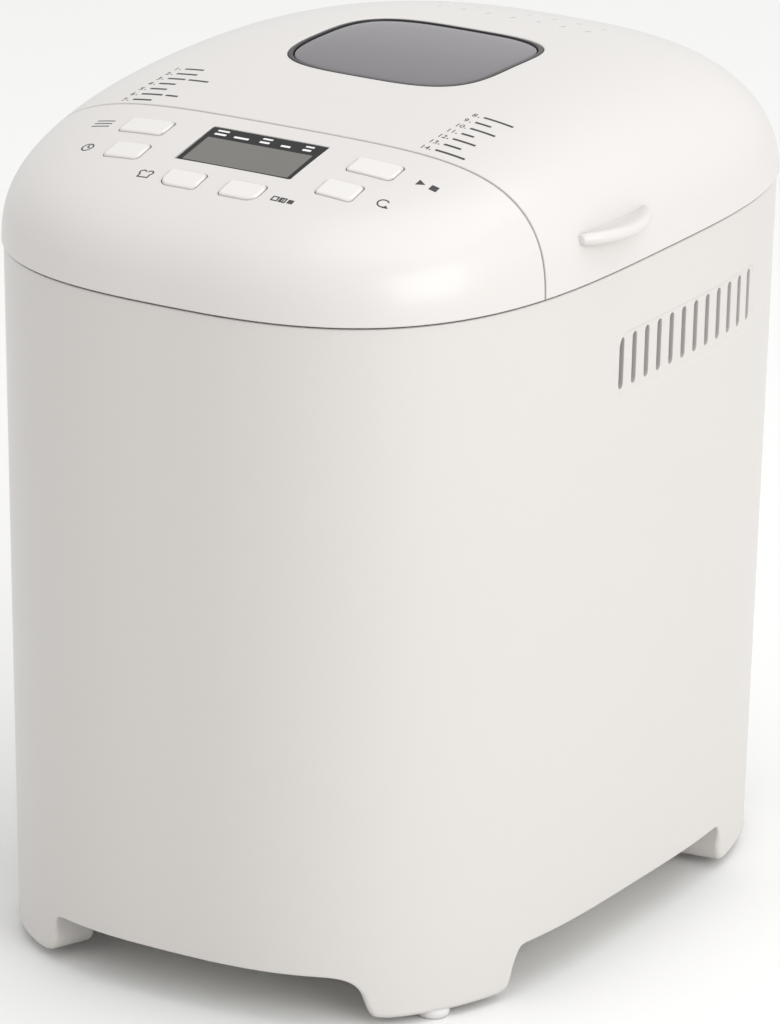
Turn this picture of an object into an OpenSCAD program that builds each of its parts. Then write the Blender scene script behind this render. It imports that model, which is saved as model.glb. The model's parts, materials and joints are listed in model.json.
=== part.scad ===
// Upright bread machine: a white housing with a hinged lid, a control panel in front of it,
// and the baking chamber, pan, heater, belt drive and motor that it holds inside.
// Front faces -Y, right side +X, and the origin is on the ground under the middle.

/* [Housing] */
// Width of the housing at the seam under the lid
body_w = 240; // [236:1:244]
// Depth of the housing at the seam under the lid
body_d = 340; // [336:1:344]
// Height of the seam between housing and lid
seam_z = 284; // [282:1:287]
// How much narrower the housing is at its foot, as a share of its width
draft = 0.032; // [0.02:0.002:0.04]
// Wall thickness of the plastic shells
wall = 2.5; // [2:0.1:3]
// Roundness of the plan outline across the width
plan_nx = 2.73; // [2.6:0.01:2.9]
// Roundness of the plan outline along the depth
plan_ny = 3.34; // [3.1:0.01:3.5]
// Height of the lower edge between the legs
skirt_z = 21; // [18:1:22]
// Height of the rubber pads under the legs
pad_h = 3; // [2:0.5:4]

/* [Lid and front cover] */
// Height of the dome above the seam
dome_h = 59.4; // [57:0.2:62]
// How far the dome overhangs the housing on each side
overhang = 0.8; // [0.4:0.1:1.2]
// Where the lid meets the front cover, along Y
split_y = -83.5; // [-85:0.5:-82]
// Gap between lid and front cover, and along the seam
seam_gap = 0.8; // [0.6:0.1:1]
// Half width of the lid window
window_x = 45; // [42:1:46]
// Half depth of the lid window
window_y = 41.5; // [38:0.5:42]
// Middle of the lid window along Y
window_mid = 12; // [10:1:14]
// How far each side grip stands out of the lid
grip_out = 11; // [8:1:13]

/* [Control panel] */
// Slope of the control panel in degrees
panel_tilt = 13; // [12:0.5:14]
// Width of the display lens
lcd_w = 52; // [48:1:54]
// Depth of the display lens
lcd_d = 28.6; // [26:0.2:29]
// Travel of each button
button_travel = 1; // [0.8:0.1:1.2]
// How far the buttons stand above the panel
button_rise = 0.9; // [0.6:0.1:1.2]

/* [Baking chamber and pan] */
// Inside width of the baking chamber
chamber_w = 176; // [174:1:178]
// Inside depth of the baking chamber
chamber_d = 192; // [190:1:194]
// Outside width of the bread pan
pan_w = 150; // [148:1:151]
// Outside depth of the bread pan
pan_d = 172; // [170:1:173]
// Height of the pan's rim above the ground
pan_top = 232; // [226:1:234]
// Radius of the swing of the pan's wire handle
handle_r = 66; // [60:1:68]

/* [Drive] */
// Radius of the large belt pulley
pulley_r = 54; // [50:1:56]
// Radius of the motor pulley
motor_pulley_r = 10; // [9:0.5:11]
// Diameter of the drive shaft and of the pan's shaft
shaft_d = 10; // [8:0.5:10]
// Radial clearance of a shaft that turns in a bush
running_gap = 0.05; // [0.02:0.01:0.08]

/* [Hidden] */

half_w = body_w / 2;
half_d = body_d / 2;
sides = 48;
rings = 10;
far = 400;

// Shape of the dome: its crown along the depth, and how round its shoulders are.
crown_tilt = 0.10;
crown_fall = -0.456;
crown_twist = 0.056;
crown_flat = 0.30;
shoulder_in = 1.65;
shoulder_out = 2.33;
shoulder_in_change = -0.24;
shoulder_out_change = -0.19;

// Gaps between the legs: the left and front legs are a little wider than the near right one.
// Each arch is an outline of [along, height] pairs that narrows a little towards the top.
leg_depth = 20;
arch_across = [
  [-61, 0], [-61, 3], [-58, 9], [-57, 24],
  [68, 24], [69, 20.5], [75, 18], [77.5, 14], [81.5, 3], [81.5, 0]
];
arch_along = [[-90, 0], [-90, 3], [-83.5, 24], [72, 24], [75, 3], [75, 0]];

// Heights inside the housing, from the ground up.
base_z = skirt_z + 1;
base_t = 2.5;
belt_z = 31.5;
belt_h = 9;
belt_t = 2.2;
belt_gap = 0.3;
chassis_z = 54;
chassis_t = 2;
chamber_z = 74;
sheet = 1;
deck_t = 3;
deck_z = seam_z - 5;
pan_floor_z = 90;

// Middle of the chamber, pan and drive shaft, and of the motor.
drive_y = 24;
motor_y = -118;
shaft_r = shaft_d / 2;
motor_shaft_r = 4;

// Lid hinge.
hinge_y = half_d - 6;
hinge_z = seam_z + 2;
knuckle_r = 5.5;
hinge_half = 54;
barrel_half = 40;
pin_r = 1.5;

// Lid liner: a flange over the chamber and a raised dish.
liner_z = seam_z + 2.4;
dish_top = liner_z + 31.5;

panel_y = -117;
switch_h = 4;

// ---- outlines and surfaces ----

function signed_pow(v, p) = sign(v) * pow(abs(v), p);
function plan_point(t, a, b) = [a * signed_pow(cos(t), 2 / plan_nx), b * signed_pow(sin(t), 2 / plan_ny)];
function plan_outline(a, b) = [for (i = [0 : sides - 1]) plan_point(360 * i / sides, a, b)];
function oval_outline(a, b, n) = [
    for (i = [0 : sides - 1])
        let (t = 360 * i / sides) [a * signed_pow(cos(t), 2 / n), b * signed_pow(sin(t), 2 / n)]
];
function taper(z) = 1 - draft * (seam_z - z) / (seam_z - skirt_z);

// Share of the way from the middle of the plan to its outline, raised to the plan's roundness.
function reach(x, y, inset = 0) =
    pow(abs(x) / (half_w + overhang - inset), plan_nx) + pow(abs(y) / (half_d + overhang - inset), plan_ny);
function crown(s) =
  1 + crown_tilt * s + crown_fall * s * s + crown_twist * pow(s, 3) + crown_flat * pow(s, 4);
function dome_at(f, s, inset = 0) =
    seam_z + (dome_h * crown(s) - inset)
    * pow(1 - pow(min(1, f), shoulder_in * (1 + shoulder_in_change * s)),
          1 / (shoulder_out * (1 + shoulder_out_change * s)));
function dome_z(x, y, inset = 0) = dome_at(reach(x, y, inset), y / half_d, inset);

function dome_ring(level, inset) = [
    for (i = [0 : sides - 1])
        let (t = 360 * i / sides)
        let (p = plan_point(t, half_w + overhang - inset, half_d + overhang - inset))
        let (x = p[0] * pow(level, 1 / plan_nx))
        let (y = p[1] * pow(level, 1 / plan_ny))
        [x, y, dome_at(level, y / half_d, inset)]
];
// Rings of the dome from its rim, level 1, to close to its top.
ring_levels = concat([for (j = [0 : rings - 1]) pow(cos(90 * j / rings), 1.2)], [0.06, 0.022, 0.005]);
ring_count = len(ring_levels);

module dome_solid(inset) {
    outline = plan_outline(half_w + overhang - inset, half_d + overhang - inset);
    base = [for (p = outline) [p[0], p[1], seam_z - 4]];
    shoulders = [for (level = ring_levels) for (p = dome_ring(level, inset)) p];
    apex = [[0, 0, dome_at(0, 0, inset)]];
    points = concat(base, shoulders, apex);
    last = ring_count * sides;
    bottom_face = [[for (i = [0 : sides - 1]) i]];
    side_faces = [
        for (j = [0 : ring_count - 1], i = [0 : sides - 1], k = [0, 1])
            let (n = (i + 1) % sides, low = j * sides, high = low + sides)
            k == 0 ? [low + i, high + i, high + n] : [low + i, high + n, low + n]
    ];
    top_faces = [for (i = [0 : sides - 1]) [last + i, last + sides, last + (i + 1) % sides]];
    polyhedron(points, concat(bottom_face, side_faces, top_faces));
}

module plan_prism(inset, z0, z1) {
    translate([0, 0, z0])
        linear_extrude(z1 - z0, scale = taper(z1) / taper(z0))
            polygon(taper(z0) * plan_outline(half_w - inset, half_d - inset));
}

module plan_sheet(inset, z, t) {
    translate([0, 0, z])
        linear_extrude(t)
            polygon(taper(z) * plan_outline(half_w - inset, half_d - inset));
}

module rounded(w, d, r) {
    square([w - 2 * r, d], center = true);
    square([w, d - 2 * r], center = true);
    for (sx = [-1, 1], sy = [-1, 1])
        translate([sx * (w / 2 - r), sy * (d / 2 - r)])
            circle(r, $fn = 48);
}

module rounded_block(w, d, r, z, h) {
    translate([0, 0, z])
        linear_extrude(h)
            rounded(w, d, r);
}

module tray(w, d, r, z, h, t) {
    difference() {
        rounded_block(w, d, r, z, h);
        rounded_block(w - 2 * t, d - 2 * t, r - t, z - 1, h + 2);
    }
}

module box(x0, x1, y0, y1, z0, z1) {
    translate([x0, y0, z0])
        cube([x1 - x0, y1 - y0, z1 - z0]);
}

module rod(r, z0, z1) {
    translate([0, 0, z0])
        cylinder(r = r, h = z1 - z0, $fn = 48);
}

module tube(r_out, r_in, z0, z1) {
    difference() {
        rod(r_out, z0, z1);
        rod(r_in, z0 - 1, z1 + 1);
    }
}

module cross_rod(r, x0, x1) {
    translate([x0, 0, 0])
        rotate([0, 90, 0])
            cylinder(r = r, h = x1 - x0, $fn = 48);
}

module screw(length, r = 1.5, head_r = 3.2, head_h = 2) {
    difference() {
        union() {
            rod(r, -length, 0.5);
            rod(head_r, 0, head_h);
        }
        translate([0, 0, head_h - 0.8])
            linear_extrude(2)
                union() {
                    square([head_r, 0.8], center = true);
                    square([0.8, head_r], center = true);
                }
    }
}

// ---- housing ----

base_screw_places = [[-110, -52], [110, -52], [-110, 58], [110, 58], [30, -157.5], [-30, 157.5]];
deck_screw_places = [[-106, -98], [106, -98], [-106, 98], [106, 98]];
post_places = [[-86, -66], [86, -66], [-84, 92], [84, 92]];
foot_places = [[-88, -122], [93, -118], [-88, 118], [93, 112]];
slot_count = 12;
slot_pitch = 9.7;
slot_first = -28;
slot_z0 = 235;
slot_z1 = 256;
slot_w = 3.4;

// The open space under the machine between its legs, grown by grow on each side.
module arch(outline, grow) {
    rotate([90, 0, 0])
        linear_extrude(far, center = true)
            polygon([for (p = outline) [p[0] + (p[0] < 0 ? -grow : grow), p[1]]]);
}

module leg_block(inset, z0) {
    difference() {
        plan_prism(inset, z0, skirt_z + 0.8);
        plan_prism(leg_depth - inset, z0 - 1, skirt_z + 1);
        arch(arch_across, inset);
        rotate([0, 0, 90])
            arch(arch_along, inset);
    }
}

module vent_slot(y) {
    translate([0, y, 0])
        rotate([90, 0, 90])
            linear_extrude(far, center = true)
                union() {
                    translate([0, (slot_z0 + slot_z1) / 2])
                        square([slot_w, slot_z1 - slot_z0 - slot_w], center = true);
                    for (z = [slot_z0, slot_z1])
                        translate([0, z + (z == slot_z0 ? 1 : -1) * slot_w / 2])
                            circle(d = slot_w, $fn = 24);
                }
}

cord_x = -10;
cord_z = 40;
cord_r = 3.6;
// The gland's neck is square, so that it cannot turn in the wall.
gland_w = 14.2;

module body_shell() color([0.90, 0.89, 0.86]) {
    difference() {
        union() {
            difference() {
                plan_prism(0, skirt_z, seam_z);
                plan_prism(wall, skirt_z - 1, seam_z + 1);
            }
            difference() {
                leg_block(0, pad_h);
                leg_block(wall, pad_h + wall);
            }
        }
        for (i = [0 : slot_count - 1])
            vent_slot(slot_first + i * slot_pitch);
        box(-hinge_half - 3, hinge_half + 3, 140, far, hinge_z - knuckle_r - 1, far);
        translate([cord_x, half_d, cord_z])
            cube([gland_w + 0.2, 40, gland_w + 0.2], center = true);
    }
    for (p = base_screw_places)
        translate([p[0], p[1], 0])
            intersection() {
                tube(4.5, 1.6, base_z + base_t + 0.1, base_z + 18);
                translate([-p[0], -p[1], 0])
                    plan_prism(wall / 2, base_z, base_z + 30);
            }
    for (p = deck_screw_places)
        translate([p[0], p[1], 0])
            intersection() {
                tube(5, 1.6, deck_z - 16, deck_z - 0.1);
                translate([-p[0], -p[1], 0])
                    plan_prism(wall / 2, deck_z - 20, deck_z);
            }
}

module base_plate() color([0.86, 0.85, 0.82]) {
    difference() {
        union() {
            plan_sheet(wall + 1.2, base_z, base_t);
            for (p = post_places)
                translate([p[0], p[1], 0])
                    rod(6, base_z, chassis_z);
            for (p = post_places, a = [0, 90])
                translate([p[0], p[1], base_z])
                    rotate([0, 0, a])
                        box(-9, 9, -1, 1, 0, 14);
        }
        for (p = post_places)
            translate([p[0], p[1], 0])
                rod(1.6, chassis_z - 14, chassis_z + 1);
        for (p = base_screw_places)
            translate([p[0], p[1], 0])
                rod(1.7, base_z - 1, base_z + base_t + 1);
        for (i = [-5 : 5])
            box(i * 9 - 1.6, i * 9 + 1.6, motor_y - 18, motor_y + 18, base_z - 1, base_z + base_t + 1);
    }
}

module rubber_feet() color([0.88, 0.88, 0.87])
    for (p = foot_places)
        translate([p[0], p[1], 0]) {
            rod(6.5, 0.6, pad_h);
            rod(5.8, 0, 0.7);
        }

module base_screws() color([0.75, 0.75, 0.76])
    for (p = base_screw_places)
        translate([p[0], p[1], base_z])
            mirror([0, 0, 1])
                screw(15, 1.5, 3.2, 1.8);

module top_deck() color([0.88, 0.87, 0.84])
    difference() {
        union() {
            plan_sheet(wall + 0.4, deck_z, deck_t);
            translate([0, drive_y, 0])
                tray(chamber_w + 10, chamber_d + 10, 36, deck_z, deck_t + 1.2, 2);
        }
        translate([0, drive_y, 0])
            rounded_block(chamber_w, chamber_d, 31, deck_z - 1, 9);
        box(-50, 50, -140, -92, deck_z - 1, far);
        box(-hinge_half - 3, hinge_half + 3, hinge_y - 8, far, deck_z - 1, far);
        for (p = deck_screw_places)
            translate([p[0], p[1], 0])
                rod(1.7, deck_z - 1, deck_z + 9);
    }

module deck_screws() color([0.75, 0.75, 0.76])
    for (p = deck_screw_places)
        translate([p[0], p[1], deck_z + deck_t])
            screw(16);

module hinge_housing() color([0.89, 0.88, 0.85])
    difference() {
        union() {
            translate([0, hinge_y, hinge_z])
                cross_rod(knuckle_r, -barrel_half, barrel_half);
            box(-barrel_half + 4, barrel_half - 4, hinge_y - 20, hinge_y - 2,
                deck_z + deck_t + 0.05, deck_z + deck_t + 3);
        }
        for (s = [-1, 1])
            translate([s * barrel_half, hinge_y, hinge_z])
                cross_rod(pin_r, -12, 12);
    }

module hinge_pins() color([0.72, 0.72, 0.74])
    for (s = [-1, 1])
        translate([s * (barrel_half + 1), hinge_y, hinge_z])
            cross_rod(pin_r, -12, 12);

// ---- front cover and control panel ----

// Places something on the tilted panel plane: z runs out of the panel.
module on_panel() {
    translate([0, panel_y, dome_z(0, panel_y)])
        rotate([panel_tilt, 0, 0])
            children();
}
// Distance along the panel, and height of the dome above the panel plane.
function panel_v(y) = (y - panel_y) / cos(panel_tilt);
function panel_up(x, y) =
    (dome_z(x, y) - dome_z(0, panel_y)) * cos(panel_tilt) - (y - panel_y) * sin(panel_tilt);

lcd_y = -107.8;
board_up = -14.5;
board_t = 1.6;
// Each button: middle x, middle y, width, depth.
buttons = [
    [-51.5, -102, 20.5, 12.3],
    [-47.8, -121.4, 16.5, 12.3],
    [-13.4, -135, 17, 11.8],
    [13.4, -135, 17, 11.8],
    [47.8, -121.4, 16.5, 12.3],
    [51.5, -102, 20.5, 12.3]
];

module button_outline(b, grow) {
    translate([b[0], panel_v(b[1])])
        rounded(b[2] + 2 * grow, b[3] + 2 * grow, 2 + grow);
}

module front_cover() color([0.91, 0.90, 0.88])
    difference() {
        intersection() {
            union() {
                difference() {
                    dome_solid(0);
                    dome_solid(wall);
                }
                intersection() {
                    dome_solid(1);
                    box(-far, far, split_y - seam_gap / 2 - wall, split_y, 0, far);
                }
            }
            box(-far, far, -far, split_y - seam_gap / 2, seam_z + seam_gap, far);
        }
        on_panel()
            translate([0, 0, -8])
                linear_extrude(12)
                    union() {
                        for (b = buttons)
                            button_outline(b, 0);
                        translate([0, panel_v(lcd_y)])
                            square([lcd_w + 0.4, lcd_d + 0.4], center = true);
                    }
    }

module lcd_lens() color([0.10, 0.10, 0.11])
    on_panel()
        translate([0, panel_v(lcd_y), panel_up(0, lcd_y) - 2.9])
            linear_extrude(2)
                square([lcd_w, lcd_d], center = true);

module lcd_module() color([0.45, 0.47, 0.42])
    on_panel()
        translate([0, panel_v(lcd_y), -8.2])
            linear_extrude(3.6)
                square([lcd_w + 6, lcd_d + 4], center = true);

module control_board() color([0.10, 0.36, 0.20])
    on_panel()
        difference() {
            translate([0, 0, board_up])
                linear_extrude(board_t)
                    square([128, 52], center = true);
            for (sx = [-1, 1], sy = [-1, 1])
                translate([sx * 60, sy * 22, 0])
                    rod(1.6, board_up - 1, board_up + 3);
        }

module button_switches() color([0.13, 0.13, 0.14])
    on_panel()
        for (b = buttons)
            translate([b[0], max(-21, panel_v(b[1])), board_up + board_t]) {
                translate([0, 0, switch_h / 2])
                    cube([6, 6, switch_h], center = true);
                rod(1.7, switch_h - 0.1, switch_h + 0.3);
            }

module board_screws() color([0.75, 0.75, 0.76])
    on_panel()
        for (sx = [-1, 1], sy = [-1, 1])
            translate([sx * 60, sy * 22, board_up + board_t])
                screw(5, 1.4, 2.6, 1.4);

module button(b) {
    top = panel_up(b[0], b[1]);
    on_panel() {
        translate([0, 0, top - 5])
            linear_extrude(5 + button_rise)
                button_outline(b, -0.4);
        translate([0, 0, top - 6.4])
            linear_extrude(2)
                difference() {
                    button_outline(b, 0.8);
                    button_outline(b, -1.8);
                }
        translate([b[0], max(-21, panel_v(b[1])), 0])
            rod(2, board_up + board_t + switch_h + 0.3 + button_travel + 0.3, top - 4.9);
    }
}

module menu_button() color([0.93, 0.92, 0.90]) button(buttons[0]);
module time_button() color([0.93, 0.92, 0.90]) button(buttons[1]);
module loaf_button() color([0.93, 0.92, 0.90]) button(buttons[2]);
module shade_button() color([0.93, 0.92, 0.90]) button(buttons[3]);
module cycle_button() color([0.93, 0.92, 0.90]) button(buttons[4]);
module start_button() color([0.93, 0.92, 0.90]) button(buttons[5]);

// ---- baking chamber ----

element_r = 3.2;
element_z = 100;
element_x = 82;
element_y = 91;
element_corner = 28;
terminal_x = 14;
bracket_x = 70;
bracket_y = 72;

module chamber_outline_hole(r, x, z) {
    translate([x, drive_y - chamber_d / 2, z])
        rotate([90, 0, 0])
            cylinder(r = r, h = 20, center = true, $fn = 32);
}

module baking_chamber() color([0.72, 0.73, 0.74])
    difference() {
        union() {
            translate([0, drive_y, 0]) {
                tray(chamber_w + 2 * sheet, chamber_d + 2 * sheet, 32, chamber_z, deck_z - chamber_z, sheet);
                rounded_block(chamber_w + sheet, chamber_d + sheet, 31.5, chamber_z, sheet);
                tray(chamber_w + 12, chamber_d + 12, 37, deck_z - sheet, sheet, 6);
            }
        }
        translate([0, drive_y, 0])
            rod(8, chamber_z - 1, chamber_z + 3);
        for (s = [-1, 1])
            chamber_outline_hole(5.05, s * terminal_x, element_z);
        translate([-chamber_w / 2, drive_y, 130])
            cross_rod(3.2, -6, 6);
    }

module chamber_brackets() color([0.66, 0.67, 0.68])
    for (sx = [-1, 1], sy = [-1, 1])
        translate([sx * bracket_x, drive_y + sy * bracket_y, 0]) {
            box(-7, 7, -8, 8, chassis_z + chassis_t, chassis_z + chassis_t + 1.2);
            box(-7, 7, -0.6, 0.6, chassis_z + chassis_t, chamber_z);
            box(-7, 7, -8, 8, chamber_z - 1.2, chamber_z);
        }

module element_run(x0, y0, x1, y1) {
    length = norm([x1 - x0, y1 - y0]);
    translate([x0, drive_y + y0, element_z])
        rotate([0, 0, atan2(y1 - y0, x1 - x0)])
            cross_rod(element_r, 0, length);
}

module heating_element() color([0.32, 0.31, 0.31]) {
    cx = element_x - element_corner;
    cy = element_y - element_corner;
    for (s = [-1, 1]) {
        element_run(s * element_x, -cy, s * element_x, cy);
        element_run(s * terminal_x, -element_y, s * cx, -element_y);
        element_run(s * terminal_x, -element_y - 16, s * terminal_x, -element_y);
        translate([s * terminal_x, drive_y - element_y, element_z])
            sphere(element_r, $fn = 32);
        for (t = [-1, 1])
            translate([s * cx, drive_y + t * cy, element_z])
                rotate([0, 0, s > 0 ? (t > 0 ? 0 : -90) : (t > 0 ? 90 : 180)])
                    rotate_extrude(angle = 90, $fn = 64)
                        translate([element_corner, 0])
                            circle(element_r, $fn = 32);
    }
    element_run(-cx, element_y, cx, element_y);
}

module element_terminals() color([0.93, 0.91, 0.86])
    for (s = [-1, 1])
        translate([s * terminal_x, drive_y - chamber_d / 2, element_z])
            rotate([90, 0, 0])
                difference() {
                    union() {
                        rod(5, -1.5, 9);
                        rod(7, 1.1, 4);
                    }
                    rod(element_r + 0.05, -2, 10);
                }

module temperature_sensor() color([0.70, 0.71, 0.73])
    translate([-chamber_w / 2, drive_y, 130]) {
        cross_rod(3, -8, 6);
        translate([-sheet - 2, 0, 0])
            cross_rod(6, 0, 1.9);
    }

module thermal_fuse() color([0.80, 0.78, 0.72])
    translate([chamber_w / 2 + sheet, drive_y, 150]) {
        translate([5, 14, 0])
            rotate([90, 0, 0])
                rod(3.5, 0, 28);
        box(0.05, 5, -3, 3, -1, 1);
    }

module pan_clips() color([0.78, 0.78, 0.80])
    for (s = [-1, 1])
        translate([0, drive_y + s * 58, 0]) {
            box(-12, 12, -7, 7, chamber_z + sheet, chamber_z + sheet + 1);
            box(-12, 12, -0.5, 0.5, chamber_z + sheet, chamber_z + 14);
            translate([0, -s * 2, chamber_z + 11])
                cross_rod(1.8, -12, 12);
        }

module heat_shield() color([0.74, 0.75, 0.76])
    difference() {
        union() {
            box(-88, 88, -80.5, -79.5, chassis_z + chassis_t, 248);
            box(-88, 88, -80.5, -70, chassis_z + chassis_t, chassis_z + chassis_t + 1);
            for (sx = [-1, 1], z = [156, 232])
                translate([sx * 50, -80.5, z])
                    rotate([90, 0, 0])
                        rod(3, 0, 9.9);
        }
        for (s = [-1, 1])
            translate([s * terminal_x, -80, element_z])
                rotate([90, 0, 0])
                    cylinder(r = 9, h = 10, center = true, $fn = 32);
    }

// ---- chassis and drive ----

motor_posts = [for (a = [45 : 90 : 315]) [30 * cos(a), motor_y + 30 * sin(a)]];
motor_r = 36;
motor_z = 62;
motor_h = 60;
rotor_r = 21;

module chassis_plate() color([0.70, 0.71, 0.73])
    difference() {
        plan_sheet(13, chassis_z, chassis_t);
        translate([0, drive_y, 0])
            rod(13.3, chassis_z - 1, chassis_z + 9);
        translate([0, motor_y, 0])
            rod(8, chassis_z - 1, chassis_z + 9);
        for (p = concat(post_places, motor_posts))
            translate([p[0], p[1], 0])
                rod(1.8, chassis_z - 1, chassis_z + 9);
        for (s = [-1, 1])
            box(s * 62 - 14, s * 62 + 14, -20, 60, chassis_z - 1, chassis_z + 9);
    }

module chassis_screws() color([0.75, 0.75, 0.76]) {
    for (p = post_places)
        translate([p[0], p[1], chassis_z + chassis_t])
            screw(12);
    for (p = motor_posts)
        translate([p[0], p[1], chassis_z])
            mirror([0, 0, 1])
                screw(8);
}

module bearing_housing() color([0.62, 0.63, 0.65])
    translate([0, drive_y, 0])
        difference() {
            union() {
                rod(13, chassis_z - 8, chamber_z);
                rod(28, chassis_z + chassis_t, chassis_z + chassis_t + 3);
                for (a = [0 : 60 : 300])
                    rotate([0, 0, a])
                        box(10, 25, -1.2, 1.2, chassis_z + chassis_t, chamber_z - 4);
            }
            rod(8, chassis_z - 9, chamber_z + 1);
        }

module shaft_bushes() color([0.72, 0.55, 0.30])
    translate([0, drive_y, 0])
        for (z = [chassis_z - 7, chamber_z - 13])
            tube(8, shaft_r + running_gap, z, z + 12);

module motor_case() color([0.55, 0.56, 0.58])
    translate([0, motor_y, 0])
        difference() {
            union() {
                rod(motor_r, motor_z, motor_z + motor_h);
                rod(9, motor_z - 3, motor_z);
                for (a = [45 : 90 : 315])
                    rotate([0, 0, a])
                        translate([30, 0, 0])
                            rod(5, chassis_z + chassis_t, motor_z + 1);
            }
            rod(rotor_r + 0.6, motor_z + 5, motor_z + motor_h - 5);
            rod(motor_shaft_r + running_gap, motor_z - 4, motor_z + motor_h + 1);
            for (a = [45 : 90 : 315])
                rotate([0, 0, a])
                    translate([30, 0, 0])
                        rod(1.5, chassis_z, motor_z);
        }

module motor_capacitor() color([0.85, 0.84, 0.80])
    translate([66, -112, 0]) {
        rod(14, chassis_z + chassis_t + 0.1, chassis_z + 46);
        for (s = [-1, 1])
            box(s * 5 - 1, s * 5 + 1, -3, 3, chassis_z + 46, chassis_z + 52);
    }

// Outline of a belt around both pulleys, at a distance from their crowns.
belt_span = drive_y - motor_y;
belt_lean = asin((pulley_r - motor_pulley_r) / belt_span);
function belt_outline(gap) = concat(
    [for (i = [0 : 32]) let (a = -belt_lean + (180 + 2 * belt_lean) * i / 32)
        [(pulley_r + gap) * cos(a), drive_y + (pulley_r + gap) * sin(a)]],
    [for (i = [0 : 16]) let (a = 180 + belt_lean + (180 - 2 * belt_lean) * i / 16)
        [(motor_pulley_r + gap) * cos(a), motor_y + (motor_pulley_r + gap) * sin(a)]]
);

module drive_belt() color([0.12, 0.12, 0.12])
    translate([0, 0, belt_z])
        linear_extrude(belt_h)
            difference() {
                polygon(belt_outline(belt_gap + belt_t));
                polygon(belt_outline(belt_gap));
            }

module flanged_wheel(r, flange, bore) {
    difference() {
        union() {
            rod(r, belt_z - 2.5, belt_z + belt_h + 2.5);
            rod(r + flange, belt_z - 2.5, belt_z - 0.5);
            rod(r + flange, belt_z + belt_h + 0.5, belt_z + belt_h + 2.5);
        }
        rod(bore, belt_z - 4, belt_z + belt_h + 4);
    }
}

module drive_pulley() color([0.16, 0.16, 0.17])
    translate([0, drive_y, 0])
        difference() {
            flanged_wheel(pulley_r, 3, shaft_r);
            for (z = [belt_z - 3, belt_z + 6.5])
                tube(pulley_r - 5, 12, z, z + 6.5);
            for (a = [0 : 60 : 300])
                rotate([0, 0, a])
                    translate([30, 0, 0])
                        rod(9, 0, 60);
        }

module drive_shaft() color([0.70, 0.70, 0.72])
    translate([0, drive_y, 0])
        rod(shaft_r, belt_z - 4, chamber_z + 5);

module drive_coupling() color([0.60, 0.60, 0.62])
    translate([0, drive_y, 0]) {
        tube(24, shaft_r, chamber_z + 2.5, chamber_z + 5);
        for (s = [-1, 1])
            translate([0, s * 20, 0])
                rod(3, chamber_z + 4.9, chamber_z + 12);
    }

module motor_rotor() color([0.58, 0.58, 0.60])
    translate([0, motor_y, 0]) {
        rod(motor_shaft_r, belt_z - 4, motor_z + motor_h + 16);
        rod(rotor_r, motor_z + 9, motor_z + motor_h - 9);
    }

module motor_pulley() color([0.80, 0.78, 0.70])
    translate([0, motor_y, 0])
        flanged_wheel(motor_pulley_r, 2.5, motor_shaft_r);

module motor_fan() color([0.85, 0.85, 0.82])
    translate([0, motor_y, 0]) {
        tube(7, motor_shaft_r, motor_z + motor_h + 4, motor_z + motor_h + 13);
        tube(28, 20, motor_z + motor_h + 4, motor_z + motor_h + 5.2);
        for (a = [0 : 40 : 320])
            rotate([0, 0, a])
                translate([16.5, 0, motor_z + motor_h + 8.5])
                    rotate([20, 0, 0])
                        cube([21, 1.4, 7], center = true);
    }

module power_board() color([0.12, 0.40, 0.22])
    box(-58, 58, -92, -90.4, 150, 240);

module power_board_parts() color([0.20, 0.20, 0.22]) {
    box(-50, -14, -120, -92, 158, 190);
    box(-4, 16, -108, -92, 160, 176);
    box(26, 50, -104, -92, 158, 182);
    translate([0, -92, 208])
        rotate([90, 0, 0])
            rod(8, 0, 22);
    for (x = [-44, -30, 30, 44])
        box(x - 5, x + 5, -103, -92, 224, 236);
}

module cord_grommet() color([0.80, 0.79, 0.76])
    translate([cord_x, half_d - 6.3, cord_z])
        rotate([90, 0, 0])
            difference() {
                union() {
                    translate([0, 0, 2.7])
                        cube([gland_w, gland_w, 12.6], center = true);
                    rod(9.5, -3.6, -1.6);
                    rod(9.5, 1.9, 4);
                }
                rod(cord_r, -5, 10);
            }

module ribbon_cable() color([0.75, 0.75, 0.74]) {
    box(-10, 10, -99.6, -98.8, 243, 302);
    box(-13, 13, -101, -96, 240.5, 246);
    box(-13, 13, -101.5, -96.5, 300, 306);
}

// ---- lid ----

steam_rows = [86, 98.5];
steam_pitch = 11.6;
boss_places = [[-60, drive_y + 91], [60, drive_y + 91], [-60, drive_y - 91], [60, drive_y - 91]];
grip_y = -36;
grip_half = 25;
grip_z = seam_z + 19;

module window_prism(grow, z0, z1) {
    translate([0, window_mid, z0])
        linear_extrude(z1 - z0)
            polygon(oval_outline(window_x + grow, window_y + grow, 3.6));
}

module side_grip() {
    translate([0, grip_y, grip_z - 2.5])
        linear_extrude(5)
            intersection() {
                translate([half_w + grip_out - 38 - 1.5, 0])
                    circle(38, $fn = 96);
                translate([half_w + 10 - 20, 0])
                    square([40, 2 * grip_half], center = true);
            }
}

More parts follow.
